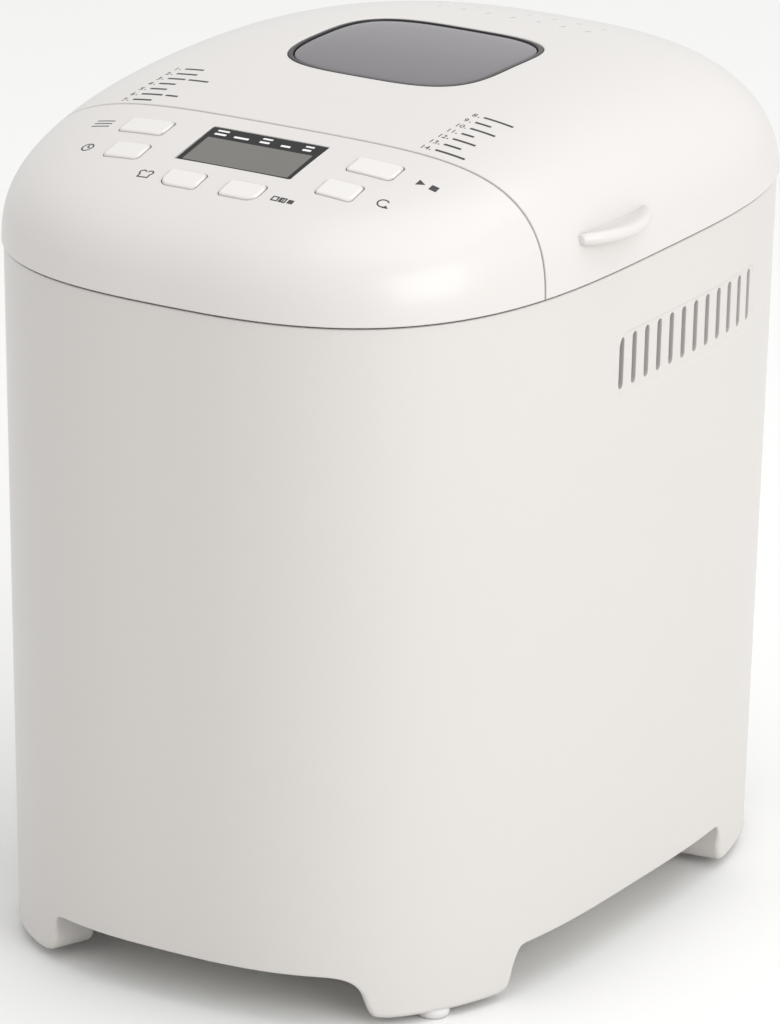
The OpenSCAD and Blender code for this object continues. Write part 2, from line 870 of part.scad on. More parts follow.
module lid_shell() color([0.92, 0.91, 0.89])
    difference() {
        union() {
            difference() {
                dome_solid(0);
                dome_solid(wall);
            }
            intersection() {
                dome_solid(1);
                union() {
                    box(-far, far, split_y, split_y + seam_gap / 2 + wall, 0, far);
                    for (p = boss_places)
                        translate([p[0], p[1], 0])
                            rod(4.5, liner_z + 1.3, far);
                }
            }
            for (s = [0, 1])
                mirror([s, 0, 0])
                    difference() {
                        side_grip();
                        translate([0, 0, -0.01])
                            linear_extrude(far)
                                polygon(plan_outline(half_w - 9, half_d));
                    }
        }
        box(-far, far, -far, split_y + seam_gap / 2, 0, far);
        box(-far, far, -far, far, 0, seam_z + seam_gap);
        box(-hinge_half - 3, hinge_half + 3, hinge_y - 7, far, 0, hinge_z + 6.8);
        window_prism(0.2, 0, far);
        for (y = steam_rows, i = [-3 : 3])
            translate([i * steam_pitch, y, 0])
                rod(1.5, seam_z + 20, far);
        for (p = boss_places)
            translate([p[0], p[1], 0])
                rod(1.55, 0, liner_z + 13);
    }

// The window follows the dome: its frame, glass and gasket lie between surfaces parallel to it.
window_top = dome_z(0, window_mid);

module dome_layer(from, to) {
    difference() {
        dome_solid(from);
        dome_solid(to);
    }
}

module window_frame() color([0.07, 0.07, 0.08])
    difference() {
        union() {
            intersection() {
                window_prism(0, window_top - 17, far);
                dome_solid(0.4);
            }
            window_prism(3, window_top - 8.6, window_top - 6.2);
        }
        difference() {
            window_prism(-2, window_top - 12, far);
            dome_solid(5.4);
        }
        window_prism(-4.5, 0, far);
    }

module lid_window() color([0.35, 0.35, 0.38, 0.45])
    intersection() {
        window_prism(-2.2, window_top - 12, far);
        dome_layer(0.7, 3.7);
    }

module window_gasket() color([0.20, 0.20, 0.21])
    intersection() {
        difference() {
            window_prism(-2.3, window_top - 14, far);
            window_prism(-4.3, 0, far);
        }
        dome_layer(3.8, 5.3);
    }

module lid_liner() color([0.78, 0.79, 0.80])
    difference() {
        translate([0, drive_y, 0]) {
            tray(196, 202, 34, liner_z, 1.2, 12);
            tray(178, 158, 30, liner_z, dish_top - liner_z, 1.2);
            rounded_block(177, 157, 29.5, dish_top - 1.2, 1.2);
            difference() {
                rounded_block(190, 196, 32, liner_z, 1.2);
                rounded_block(177, 157, 29.5, liner_z - 1, 4);
            }
        }
        window_prism(-8, 0, far);
        for (p = boss_places)
            translate([p[0], p[1], 0])
                rod(1.7, 0, liner_z + 5);
    }

module inner_window() color([0.80, 0.84, 0.86, 0.35])
    window_prism(-5, dish_top + 0.05, dish_top + 3);

module lid_screws() color([0.75, 0.75, 0.76])
    for (p = boss_places)
        translate([p[0], p[1], liner_z])
            mirror([0, 0, 1])
                screw(12, 1.5, 3.2, 1.6);

module lid_hinge_arms() color([0.89, 0.88, 0.85])
    for (s = [-1, 1])
        translate([s * (barrel_half + 7), 0, 0])
            difference() {
                union() {
                    translate([0, hinge_y, hinge_z])
                        cross_rod(knuckle_r, -6, 6);
                    box(-6, 6, hinge_y - 50, hinge_y, hinge_z + 1.7, hinge_z + knuckle_r);
                }
                translate([0, hinge_y, hinge_z])
                    cross_rod(pin_r + running_gap, -9, 9);
            }

// ---- bread pan and paddle ----

lug_z = pan_top + 6;
wire_r = 2;
wire_x = pan_w / 2 + 5.5;

module bread_pan() color([0.33, 0.33, 0.34])
    translate([0, drive_y, 0])
        difference() {
            union() {
                tray(pan_w, pan_d, 28, pan_floor_z, pan_top - pan_floor_z, 1.4);
                rounded_block(pan_w - 1, pan_d - 1, 27.5, pan_floor_z, 2);
                tray(pan_w + 6, pan_d + 6, 31, pan_top - 2, 2, 4);
                tube(52, 49, chamber_z + 6, pan_floor_z + 0.1);
            }
            rod(8, 0, pan_floor_z + 9);
        }

module pan_handle_lugs() color([0.60, 0.60, 0.62])
    translate([0, drive_y, 0])
        for (s = [-1, 1])
            difference() {
                union() {
                    translate([s * (pan_w / 2 + 1.2), 0, lug_z])
                        cross_rod(6, -1.2, 1.2);
                    box(s * (pan_w / 2 + 1.2) - 1.2, s * (pan_w / 2 + 1.2) + 1.2, -6, 6, pan_top, lug_z);
                }
                translate([s * (pan_w / 2 + 1.2), 0, lug_z])
                    cross_rod(wire_r + running_gap, -4, 4);
            }

module pan_bush() color([0.72, 0.55, 0.30])
    translate([0, drive_y, 0])
        tube(8, shaft_r + running_gap, pan_floor_z - 3, pan_floor_z + 8);

module pan_handle() color([0.66, 0.66, 0.68])
    translate([0, drive_y, lug_z]) {
        for (s = [-1, 1]) {
            translate([s * wire_x, 0, 0])
                cross_rod(wire_r, s > 0 ? -7.5 : 0, s > 0 ? 0 : 7.5);
            translate([s * wire_x, 0, 0])
                sphere(wire_r, $fn = 32);
            translate([s * wire_x, 0, 0])
                rotate([-90, 0, 0])
                    rod(wire_r, 0, handle_r - 14);
            translate([s * (wire_x - 14), handle_r - 14, 0])
                rotate([0, 0, s > 0 ? 0 : 90])
                    rotate_extrude(angle = 90, $fn = 64)
                        translate([14, 0])
                            circle(wire_r, $fn = 32);
        }
        translate([0, handle_r, 0])
            cross_rod(wire_r, 14 - wire_x, wire_x - 14);
        translate([0, handle_r, 0])
            cross_rod(3.6, -35, 35);
    }

module kneading_paddle() color([0.36, 0.36, 0.37])
    translate([0, drive_y, 0]) {
        tube(9, shaft_r, pan_floor_z + 8.6, pan_floor_z + 32);
        translate([0, 0, pan_floor_z + 8.6])
            linear_extrude(6)
                polygon([[6, -4], [46, -3], [50, 0], [46, 3], [6, 4]]);
        rotate([90, 0, 0])
            linear_extrude(5, center = true)
                polygon([
                    [6, pan_floor_z + 10], [44, pan_floor_z + 10],
                    [40, pan_floor_z + 26], [30, pan_floor_z + 31], [6, pan_floor_z + 31]
                ]);
    }

module pan_shaft() color([0.72, 0.72, 0.74])
    translate([0, drive_y, 0])
        rod(shaft_r, chamber_z + 6, pan_floor_z + 28);

module pan_coupling() color([0.60, 0.60, 0.62])
    translate([0, drive_y, 0])
        difference() {
            union() {
                rod(9, chamber_z + 6.5, chamber_z + 12.5);
                box(-22, 22, -2.5, 2.5, chamber_z + 6.5, chamber_z + 11.5);
            }
            rod(shaft_r, 0, far);
        }

body_shell();
base_plate();
rubber_feet();
base_screws();
top_deck();
deck_screws();
hinge_housing();
hinge_pins();
front_cover();
lcd_lens();
lcd_module();
control_board();
button_switches();
board_screws();
menu_button();
time_button();
loaf_button();
shade_button();
cycle_button();
start_button();
baking_chamber();
chamber_brackets();
heating_element();
element_terminals();
temperature_sensor();
thermal_fuse();
pan_clips();
heat_shield();
chassis_plate();
chassis_screws();
bearing_housing();
shaft_bushes();
motor_case();
motor_capacitor();
drive_belt();
power_board();
power_board_parts();
cord_grommet();
ribbon_cable();
lid_shell();
window_frame();
lid_window();
window_gasket();
lid_liner();
inner_window();
lid_screws();
lid_hinge_arms();
bread_pan();
pan_handle_lugs();
pan_bush();
pan_handle();
kneading_paddle();
pan_shaft();
pan_coupling();
drive_shaft();
drive_coupling();
drive_pulley();
motor_rotor();
motor_pulley();
motor_fan();
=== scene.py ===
"""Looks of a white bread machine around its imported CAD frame. Lengths are in metres."""

import json
import math
from math import radians

import bpy
import numpy as np
from mathutils import Matrix, Vector
from mathutils.geometry import delaunay_2d_cdt


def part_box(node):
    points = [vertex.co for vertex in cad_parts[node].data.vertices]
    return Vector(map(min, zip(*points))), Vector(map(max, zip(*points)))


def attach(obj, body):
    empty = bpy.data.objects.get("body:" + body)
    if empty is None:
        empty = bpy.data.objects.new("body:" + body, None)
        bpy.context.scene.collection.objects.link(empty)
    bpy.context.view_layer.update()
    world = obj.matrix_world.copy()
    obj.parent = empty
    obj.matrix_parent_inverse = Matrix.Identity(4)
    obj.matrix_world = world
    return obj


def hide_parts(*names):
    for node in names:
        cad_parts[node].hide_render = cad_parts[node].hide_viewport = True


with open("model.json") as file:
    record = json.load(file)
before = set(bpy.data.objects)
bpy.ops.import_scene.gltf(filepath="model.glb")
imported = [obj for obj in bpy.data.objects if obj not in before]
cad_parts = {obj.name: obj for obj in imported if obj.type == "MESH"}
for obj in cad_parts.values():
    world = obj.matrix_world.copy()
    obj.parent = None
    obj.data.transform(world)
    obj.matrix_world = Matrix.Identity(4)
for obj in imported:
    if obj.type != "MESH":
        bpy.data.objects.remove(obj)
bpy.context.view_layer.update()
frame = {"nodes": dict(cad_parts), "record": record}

MM = 0.001

# ---- sizes shared with the CAD source ----
HALF_W = 120 * MM
HALF_D = 170 * MM
OVERHANG = 0.8 * MM
SEAM_Z = 284 * MM
SEAM_GAP = 0.8 * MM
SKIRT_Z = 21 * MM
DRAFT = 0.032
WALL = 2.5 * MM
PLAN_NX = 2.73
PLAN_NY = 3.34
DOME_H = 59.4 * MM
CROWN_TILT = 0.10
CROWN_FALL = -0.456
CROWN_TWIST = 0.056
CROWN_FLAT = 0.30
SHOULDER_IN = 1.65
SHOULDER_OUT = 2.33
SHOULDER_IN_CHANGE = -0.24
SHOULDER_OUT_CHANGE = -0.19
SPLIT_Y = -83.5 * MM
PANEL_Y = -117 * MM
PANEL_TILT = radians(13)
LCD_SIZE = (52 * MM, 28.6 * MM)
LCD_Y = -107.8 * MM
WINDOW_X = 45 * MM
WINDOW_Y = 41.5 * MM
WINDOW_MID = 12 * MM
WINDOW_POWER = 3.6
STEAM_ROWS = (86 * MM, 98.5 * MM)
STEAM_PITCH = 11.6 * MM
STEAM_R = 1.5 * MM
HINGE_HALF = 57 * MM
HINGE_CUT_Z = 292.8 * MM
BODY_CUT_Z = 279.5 * MM
SLOT_FIRST = -28 * MM
SLOT_PITCH = 9.7 * MM
SLOT_COUNT = 12
SLOT_LOW = 235 * MM
SLOT_HIGH = 256 * MM
SLOT_W = 3.4 * MM
GRIP_Y = -36 * MM
GRIP_HALF = 25 * MM
GRIP_Z = 303 * MM
GRIP_R = 38 * MM
GRIP_MID_X = 91.5 * MM
BUTTON_RISE = 0.9 * MM
BUTTON_GAP = 0.4 * MM
# Each button: middle x, middle y, width, depth, and the corner radius of each front corner.
BUTTONS = {
    "menu": (-51.5, -102, 20.5, 12.3, 2, 2),
    "time": (-47.8, -121.4, 16.5, 12.3, 2, 2),
    "loaf": (-13.4, -135, 17, 11.8, 5, 2),
    "shade": (13.4, -135, 17, 11.8, 2, 5),
    "cycle": (47.8, -121.4, 16.5, 12.3, 2, 2),
    "start": (51.5, -102, 20.5, 12.3, 2, 2),
}


# ---- camera ----
def make_camera():
    """A long lens, from the front right and a little above."""
    azimuth, elevation, roll = radians(30.957), radians(18.899), radians(0.957)
    distance, aside, aim_z = 2.8638, 0.01402, 0.15331
    level = math.cos(elevation)
    back = Vector((math.sin(azimuth) * level, -math.cos(azimuth) * level, math.sin(elevation)))
    right = (-back).cross(Vector((0, 0, 1))).normalized()
    up = right.cross(-back).normalized()
    across = right * math.cos(roll) + up * math.sin(roll)
    upward = up * math.cos(roll) - right * math.sin(roll)
    place = Vector((0, 0, aim_z)) + back * distance + right * aside
    data = bpy.data.cameras.new("camera")
    data.lens = 251.5
    data.sensor_width = 36
    data.shift_x = -0.0373
    data.shift_y = 0.0030
    data.clip_start = 0.1
    data.clip_end = 60
    camera = bpy.data.objects.new("camera", data)
    bpy.context.scene.collection.objects.link(camera)
    rows = [[across[i], upward[i], back[i], place[i]] for i in range(3)]
    camera.matrix_world = Matrix(rows + [[0, 0, 0, 1]])
    bpy.context.scene.camera = camera


# ---- surfaces ----
def signed_power(v, power):
    return np.sign(v) * np.abs(v) ** power


def reach(x, y):
    """Share of the way from the middle of the plan to its outline, raised to the plan's roundness."""
    across = np.abs(x) / (HALF_W + OVERHANG)
    along = np.abs(y) / (HALF_D + OVERHANG)
    return across**PLAN_NX + along**PLAN_NY


def dome_z(x, y):
    """Height of the dome over a place in the plan."""
    s = y / HALF_D
    crown = 1 + CROWN_TILT * s + CROWN_FALL * s**2 + CROWN_TWIST * s**3 + CROWN_FLAT * s**4
    inner = np.minimum(1, reach(x, y)) ** (SHOULDER_IN * (1 + SHOULDER_IN_CHANGE * s))
    outer = 1 / (SHOULDER_OUT * (1 + SHOULDER_OUT_CHANGE * s))
    return SEAM_Z + DOME_H * crown * (1 - inner) ** outer


def height_at(x, y):
    """Height of the dome at one place."""
    return float(dome_z(np.array([x]), np.array([y]))[0])


RIM_POWER = 2.3


def rim_distance(angle):
    """How far the dome's outline is from the middle in each direction."""
    c = np.abs(np.cos(angle)) / (HALF_W + OVERHANG)
    s = np.abs(np.sin(angle)) / (HALF_D + OVERHANG)
    r = 1 / np.sqrt(c**2 + s**2)
    for _ in range(30):
        value = (r * c) ** PLAN_NX + (r * s) ** PLAN_NY - 1
        slope = (PLAN_NX * (r * c) ** PLAN_NX + PLAN_NY * (r * s) ** PLAN_NY) / r
        r = r - value / slope
    return r


def flat_of_plan(points):
    """Plan places moved to a flat sheet on which the dome's steep shoulders spread out."""
    points = np.asarray(points, float)
    r = np.hypot(points[:, 0], points[:, 1])
    q = np.clip(r / rim_distance(np.arctan2(points[:, 1], points[:, 0])), 1e-9, 1)
    w = 1 - (1 - q) ** (1 / RIM_POWER)
    return points * (w / q)[:, None]


def plan_of_flat(points):
    """The way back from the flat sheet to the plan."""
    r = np.hypot(points[:, 0], points[:, 1])
    w = np.clip(r / rim_distance(np.arctan2(points[:, 1], points[:, 0])), 1e-9, 1)
    q = 1 - (1 - w) ** RIM_POWER
    return points * (q / w)[:, None]


def dome_surface(points):
    plan = plan_of_flat(points)
    return np.column_stack([plan, dome_z(plan[:, 0], plan[:, 1])])


def normals_of(surface, points, step):
    """Outward unit normals of a surface given over a flat sheet."""
    right = surface(points + [step, 0]) - surface(points - [step, 0])
    up = surface(points + [0, step]) - surface(points - [0, step])
    n = np.cross(right, up)
    return n / np.linalg.norm(n, axis=1)[:, None]


def dome_normals(points):
    inward = points * 0.996
    return normals_of(dome_surface, inward, 0.05 * MM)


def plan_normals(plan):
    return dome_normals(flat_of_plan(plan))


def on_dome(plan, lift=0.0):
    plan = np.asarray(plan, float)
    z = dome_z(plan[:, 0], plan[:, 1])
    return np.column_stack([plan, z]) + plan_normals(plan) * lift


def plan_of_panel(points):
    """Points drawn on the tilted panel plane, carried out along its normal to the dome."""
    points = np.asarray(points, float)
    c, s = math.cos(PANEL_TILT), math.sin(PANEL_TILT)
    base = height_at(0.0, PANEL_Y)
    up = np.zeros(len(points))
    for _ in range(6):
        y = PANEL_Y + points[:, 1] * c - up * s
        up = (dome_z(points[:, 0], y) - base - points[:, 1] * s) / c
    y = PANEL_Y + points[:, 1] * c - up * s
    return np.column_stack([points[:, 0], y])


def panel_v(y):
    """Distance up the panel plane of the place over this y."""
    return (y - PANEL_Y) / math.cos(PANEL_TILT)


# ---- the housing's wall, over a sheet of distance along the outline and height ----
def outline_table():
    t = np.linspace(math.pi / 2, math.pi * 5 / 2, 40001)
    x = HALF_W * signed_power(np.cos(t), 2 / PLAN_NX)
    y = HALF_D * signed_power(np.sin(t), 2 / PLAN_NY)
    s = np.concatenate([[0], np.cumsum(np.hypot(np.diff(x), np.diff(y)))])
    even = np.linspace(0, s[-1], 6001)
    return even, np.interp(even, s, x), np.interp(even, s, y)


TABLE_S, TABLE_X, TABLE_Y = outline_table()
LENGTH = TABLE_S[-1]


def taper(z):
    """How much the walls have drawn in at this height."""
    return 1 - DRAFT * (SEAM_Z - z) / (SEAM_Z - SKIRT_Z)


def along_of(side, value, z):
    """Distance along the outline of the place on one side that has this x or y at height z."""
    value = np.asarray(value, float) / taper(np.asarray(z, float))
    if side == "front":
        pick, key = TABLE_Y < 0, TABLE_X
    elif side == "left":
        pick, key = TABLE_X < 0, TABLE_Y
    elif side == "right":
        pick, key = TABLE_X > 0, TABLE_Y
    elif side == "rear_left":
        pick, key = (TABLE_Y > 0) & (TABLE_X <= 0), TABLE_X
    else:
        pick, key = (TABLE_Y > 0) & (TABLE_X > 0), TABLE_X
    order = np.argsort(key[pick])
    return np.interp(value, key[pick][order], TABLE_S[pick][order])


RECESS = (27 * MM, 58 * MM, 244.5 * MM, 13.5 * MM, 6 * MM)
RECESS_DEPTH = 0.45 * MM
RECESS_SLOPE = 1.1 * MM


def recess_distance(y, z):
    """Distance outside the edge of the shallow rounded field that the side slots sit in."""
    mid_y, half_y, mid_z, half_z, corner = RECESS
    dy = np.abs(y - mid_y) - (half_y - corner)
    dz = np.abs(z - mid_z) - (half_z - corner)
    outside = np.hypot(np.maximum(dy, 0), np.maximum(dz, 0))
    return outside + np.minimum(np.maximum(dy, dz), 0) - corner


def wall_plain(points):
    s, z = np.mod(points[:, 0], LENGTH), points[:, 1]
    k = taper(z)
    return np.column_stack([k * np.interp(s, TABLE_S, TABLE_X), k * np.interp(s, TABLE_S, TABLE_Y), z])


def wall_surface(points):
    p = wall_plain(points)
    n = normals_of(wall_plain, points, 1.5 * MM)
    inside = np.clip(-recess_distance(p[:, 1], p[:, 2]) / RECESS_SLOPE, 0, 1)
    inside = inside * inside * (3 - 2 * inside) * (np.abs(p[:, 0]) > 0.6 * HALF_W)
    return p - n * (inside * RECESS_DEPTH)[:, None]


def wall_normals(points):
    plain = normals_of(wall_plain, points, 1.5 * MM)
    near = np.abs(recess_distance(wall_plain(points)[:, 1], points[:, 1])) < 2.5 * MM
    if near.any():
        plain[near] = normals_of(wall_surface, points[near], 0.2 * MM)
    return plain


# ---- flat outlines ----
def oval(a, b, power, count):
    """An oval or a rounded oblong, as the power goes up."""
    t = np.linspace(0, 2 * math.pi, count, endpoint=False)
    return np.column_stack([a * signed_power(np.cos(t), 2 / power), b * signed_power(np.sin(t), 2 / power)])


def even_loop(points, step):
    """The same closed outline with points at even steps."""
    closed = np.vstack([points, points[:1]])
    s = np.concatenate([[0], np.cumsum(np.linalg.norm(np.diff(closed, axis=0), axis=1))])
    count = max(8, int(round(s[-1] / step)))
    at = np.linspace(0, s[-1], count, endpoint=False)
    return np.column_stack([np.interp(at, s, closed[:, 0]), np.interp(at, s, closed[:, 1])])


def even_line(points, step):
    """The same open line with points at even steps, ends kept."""
    points = np.asarray(points, float)
    s = np.concatenate([[0], np.cumsum(np.linalg.norm(np.diff(points, axis=0), axis=1))])
    at = np.linspace(0, s[-1], max(2, int(round(s[-1] / step)) + 1))
    return np.column_stack([np.interp(at, s, points[:, 0]), np.interp(at, s, points[:, 1])])


def smooth_line(points, step):
    """A soft curve through the points."""
    p = np.asarray(points, float)
    p = np.vstack([2 * p[0] - p[1], p, 2 * p[-1] - p[-2]])
    t = np.linspace(0, 1, 12, endpoint=False)[:, None]
    parts = []
    for a, b, c, d in zip(p, p[1:], p[2:], p[3:]):
        square = (2 * a - 5 * b + 4 * c - d) * t**2
        cube = (3 * b - a - 3 * c + d) * t**3
        parts.append(0.5 * (2 * b + (c - a) * t + square + cube))
    parts.append(p[-2:-1])
    return even_line(np.vstack(parts), step)


def rounded_rect(w, d, radii, per_corner=8):
    """Corners in the order front left, front right, rear right, rear left."""
    points = []
    signs = ((-1, -1), (1, -1), (1, 1), (-1, 1))
    for (sx, sy), r, start in zip(signs, radii, (180, 270, 0, 90)):
        for a in np.radians(np.linspace(start, start + 90, per_corner + 1)):
            points.append([sx * (w / 2 - r) + r * math.cos(a), sy * (d / 2 - r) + r * math.sin(a)])
    return np.array(points)


def inside_loop(points, loop):
    x, y = points[:, 0][:, None], points[:, 1][:, None]
    a, b = loop, np.roll(loop, -1, axis=0)
    hits = (a[:, 1] > y) != (b[:, 1] > y)
    with np.errstate(divide="ignore", invalid="ignore"):
        cross = (b[:, 0] - a[:, 0]) * (y - a[:, 1]) / (b[:, 1] - a[:, 1]) + a[:, 0]
    return (np.sum(hits & (x < cross), axis=1) % 2) == 1


def distance_to(points, targets):
    """Distance from each point to the nearest target, worked out in blocks to save memory."""
    best = np.full(len(points), np.inf)
    block = 200
    for start in range(0, len(targets), block):
        part = targets[start : start + block]
        d = np.hypot(points[:, 0][:, None] - part[:, 0], points[:, 1][:, None] - part[:, 1])
        best = np.minimum(best, d.min(axis=1))
    return best


def hex_points(low, high, step_x, step_y):
    """Rows of points, every other row moved by half a step."""
    points = []
    rows = int((high[1] - low[1]) / step_y) + 1
    for j in range(rows):
        shift = step_x / 2 if j % 2 else 0
        x = np.arange(low[0] + shift, high[0], step_x)
        points.append(np.column_stack([x, np.full(len(x), low[1] + j * step_y)]))
    return np.vstack(points)


def triangulate(border, holes, guides, filling, clear):
    """A sheet of triangles inside the border and outside the holes, with the guides as edges."""
    loops = [border, *holes]
    fixed = np.vstack(loops + list(guides))
    keep = inside_loop(filling, border) & (distance_to(filling, fixed) > clear)
    for hole in holes:
        keep &= ~inside_loop(filling, hole)
    points = np.vstack([fixed, filling[keep]])
    edges, start = [], 0
    for loop in loops + list(guides):
        n = len(loop)
        edges += [(start + i, start + (i + 1) % n) for i in range(n)]
        start += n
    made = delaunay_2d_cdt([Vector(p) for p in points * 1000], edges, [], 0, 1e-5)
    flat = np.array([v[:] for v in made[0]]) / 1000
    triangles = np.array([f[:] for f in made[2]], int)
    middle = flat[triangles].mean(axis=1)
    good = inside_loop(middle, border)
    for hole in holes:
        good &= ~inside_loop(middle, hole)
    triangles = triangles[good]
    used = np.unique(triangles)
    order = np.full(len(flat), -1)
    order[used] = np.arange(len(used))
    triangles = order[triangles]
    flat = flat[used]
    a, b, c = (flat[triangles[:, i]] for i in range(3))
    area = (b[:, 0] - a[:, 0]) * (c[:, 1] - a[:, 1]) - (b[:, 1] - a[:, 1]) * (c[:, 0] - a[:, 0])
    triangles[area < 0] = triangles[area < 0][:, ::-1]
    return flat, triangles


# ---- meshes ----
def band_faces(count, bands):
    """Quads between neighbouring closed rows of points that follow each other in one list."""
    faces = []
    for k in range(bands):
        a = k * count
        for i in range(count):
            j = (i + 1) % count
            faces.append((a + i, a + j, a + count + j, a + count + i))
    return faces


def new_object(name, verts, faces, material, normals=None, smooth=True):
    mesh = bpy.data.meshes.new(name)
    mesh.from_pydata([tuple(v) for v in verts], [], [tuple(f) for f in faces])
    if smooth:
        mesh.polygons.foreach_set("use_smooth", [True] * len(mesh.polygons))
    mesh.update()
    if normals is not None:
        mesh.normals_split_custom_set_from_vertices([tuple(n) for n in normals])
    obj = bpy.data.objects.new(name, mesh)
    bpy.context.scene.collection.objects.link(obj)
    obj.data.materials.append(material)
    return obj


def weld(points, triangles):
    """Joins points that lie on each other, as where a sheet meets itself round the back."""
    places = np.round(points / 1e-6).astype(np.int64)
    _, first, back = np.unique(places, axis=0, return_index=True, return_inverse=True)
    triangles = back.reshape(-1)[triangles]
    fair = np.all(triangles != np.roll(triangles, 1, axis=1), axis=1)
    return first, triangles[fair]


EDGE_STEPS = 4


def thicken(points, normals, triangles, depth, rounding):
    """Turns a sheet into a solid wall with rounded edges. Depth and rounding are given for each point."""
    count = len(points)
    directed = {edge for a, b, c in triangles for edge in ((a, b), (b, c), (c, a))}
    after = {a: b for a, b in directed if (b, a) not in directed}
    before = {b: a for a, b in after.items()}
    rim = np.array(sorted(after), int)
    ahead = np.array([after[i] for i in rim])
    behind = np.array([before[i] for i in rim])
    forward = points[ahead] - points[rim]
    backward = points[rim] - points[behind]
    n = normals[rim]
    t1 = np.cross(forward / np.linalg.norm(forward, axis=1)[:, None], n)
    t2 = np.cross(backward / np.linalg.norm(backward, axis=1)[:, None], n)
    out = t1 + t2
    out /= np.linalg.norm(out, axis=1)[:, None]
    mitre = 1 / np.clip(np.sum(out * t1, axis=1), 0.6, 1)
    r = np.minimum(rounding[rim], depth[rim] * 0.45)
    verts = [points, points - normals * depth[:, None]]
    shading = [normals, -normals]
    faces = [tuple(f) for f in triangles]
    faces += [tuple(f[::-1] + count) for f in triangles]
    profile = []
    for k in range(1, EDGE_STEPS + 1):
        angle = math.pi / 2 * k / EDGE_STEPS
        profile.append((r * math.sin(angle), r * (1 - math.cos(angle)), angle))
    for k in range(EDGE_STEPS):
        angle = math.pi / 2 * k / EDGE_STEPS
        profile.append((r * math.cos(angle), depth[rim] - r + r * math.sin(angle), angle + math.pi / 2))
    index = {v: i for i, v in enumerate(rim)}
    rows = [rim]
    start = 2 * count
    for side, down, angle in profile:
        verts.append(points[rim] + out * (side * mitre)[:, None] - n * down[:, None])
        shading.append(n * math.cos(angle) + out * math.sin(angle))
        rows.append(np.arange(start, start + len(rim)))
        start += len(rim)
    rows.append(rim + count)
    follow = np.array([index[v] for v in ahead])
    for upper, lower in zip(rows, rows[1:]):
        for i in range(len(rim)):
            j = follow[i]
            faces.append((upper[j], upper[i], lower[i], lower[j]))
    return np.vstack(verts), faces, np.vstack(shading)


def sheet_solid(name, surface, normal_of, flat, triangles, depth_of, rounding_of, material):
    """Carries a flat sheet on to a surface and thickens it there."""
    points = surface(flat)
    first, triangles = weld(points, triangles)
    flat, points = flat[first], points[first]
    normals = normal_of(flat)
    verts, faces, shading = thicken(
        points, normals, triangles, depth_of(flat, points), rounding_of(flat, points)
    )
    return new_object(name, verts, faces, material, shading)


# ---- materials ----
def surface_material(
    name, colour, rough, metal=0.0, vary=0.03, grain=900.0, bump=0.02, coat=0.0, shine=0.5, stretch=(1, 1, 1)
):
    """A procedural finish: slight changes of colour and roughness, and a fine grain in relief."""
    material = bpy.data.materials.new(name)
    material.use_nodes = True
    nodes, links = material.node_tree.nodes, material.node_tree.links
    shader = nodes["Principled BSDF"]
    place = nodes.new("ShaderNodeTexCoord")
    scale = nodes.new("ShaderNodeMapping")
    scale.inputs["Scale"].default_value = stretch
    links.new(place.outputs["Object"], scale.inputs["Vector"])
    cloud = nodes.new("ShaderNodeTexNoise")
    cloud.inputs["Scale"].default_value = 9.0
    cloud.inputs["Detail"].default_value = 3.0
    links.new(scale.outputs["Vector"], cloud.inputs["Vector"])
    tint = nodes.new("ShaderNodeMix")
    tint.data_type = "RGBA"
    tint.inputs["A"].default_value = (*[c * (1 - vary) for c in colour], 1)
    tint.inputs["B"].default_value = (*[min(1, c * (1 + vary)) for c in colour], 1)
    links.new(cloud.outputs["Fac"], tint.inputs["Factor"])
    links.new(tint.outputs["Result"], shader.inputs["Base Color"])
    fine = nodes.new("ShaderNodeTexNoise")
    fine.inputs["Scale"].default_value = grain
    fine.inputs["Detail"].default_value = 2.0
    links.new(scale.outputs["Vector"], fine.inputs["Vector"])
    spread = nodes.new("ShaderNodeMapRange")
    spread.inputs["To Min"].default_value = rough * 0.9
    spread.inputs["To Max"].default_value = min(1, rough * 1.1)
    links.new(fine.outputs["Fac"], spread.inputs["Value"])
    links.new(spread.outputs["Result"], shader.inputs["Roughness"])
    relief = nodes.new("ShaderNodeBump")
    relief.inputs["Strength"].default_value = bump
    relief.inputs["Distance"].default_value = 0.0004
    links.new(fine.outputs["Fac"], relief.inputs["Height"])
    links.new(relief.outputs["Normal"], shader.inputs["Normal"])
    shader.inputs["Metallic"].default_value = metal
    shader.inputs["Specular IOR Level"].default_value = shine
    shader.inputs["Coat Weight"].default_value = coat
    shader.inputs["Coat Roughness"].default_value = 0.12
    return material


def glass_material(name, colour, rough, clearness):
    """Glass with a faint unevenness, more or less clear."""
    material = surface_material(name, colour, rough, vary=0.02, grain=60.0, bump=0.004)
    shader = material.node_tree.nodes["Principled BSDF"]
    shader.inputs["Transmission Weight"].default_value = clearness
    shader.inputs["IOR"].default_value = 1.49
    return material


def plastic(name, colour, rough, coat):
    """Warm white moulded plastic with a fine satin grain."""
    return surface_material(name, colour, rough, vary=0.008, grain=1400, bump=0.012, coat=coat)


def dark_gloss(name, colour, rough, vary, grain, bump, shine):
    """A dark surface whose shine is held down, so that it doesn't mirror the white surround."""
    return surface_material(name, colour, rough, vary=vary, grain=grain, bump=bump, shine=shine)


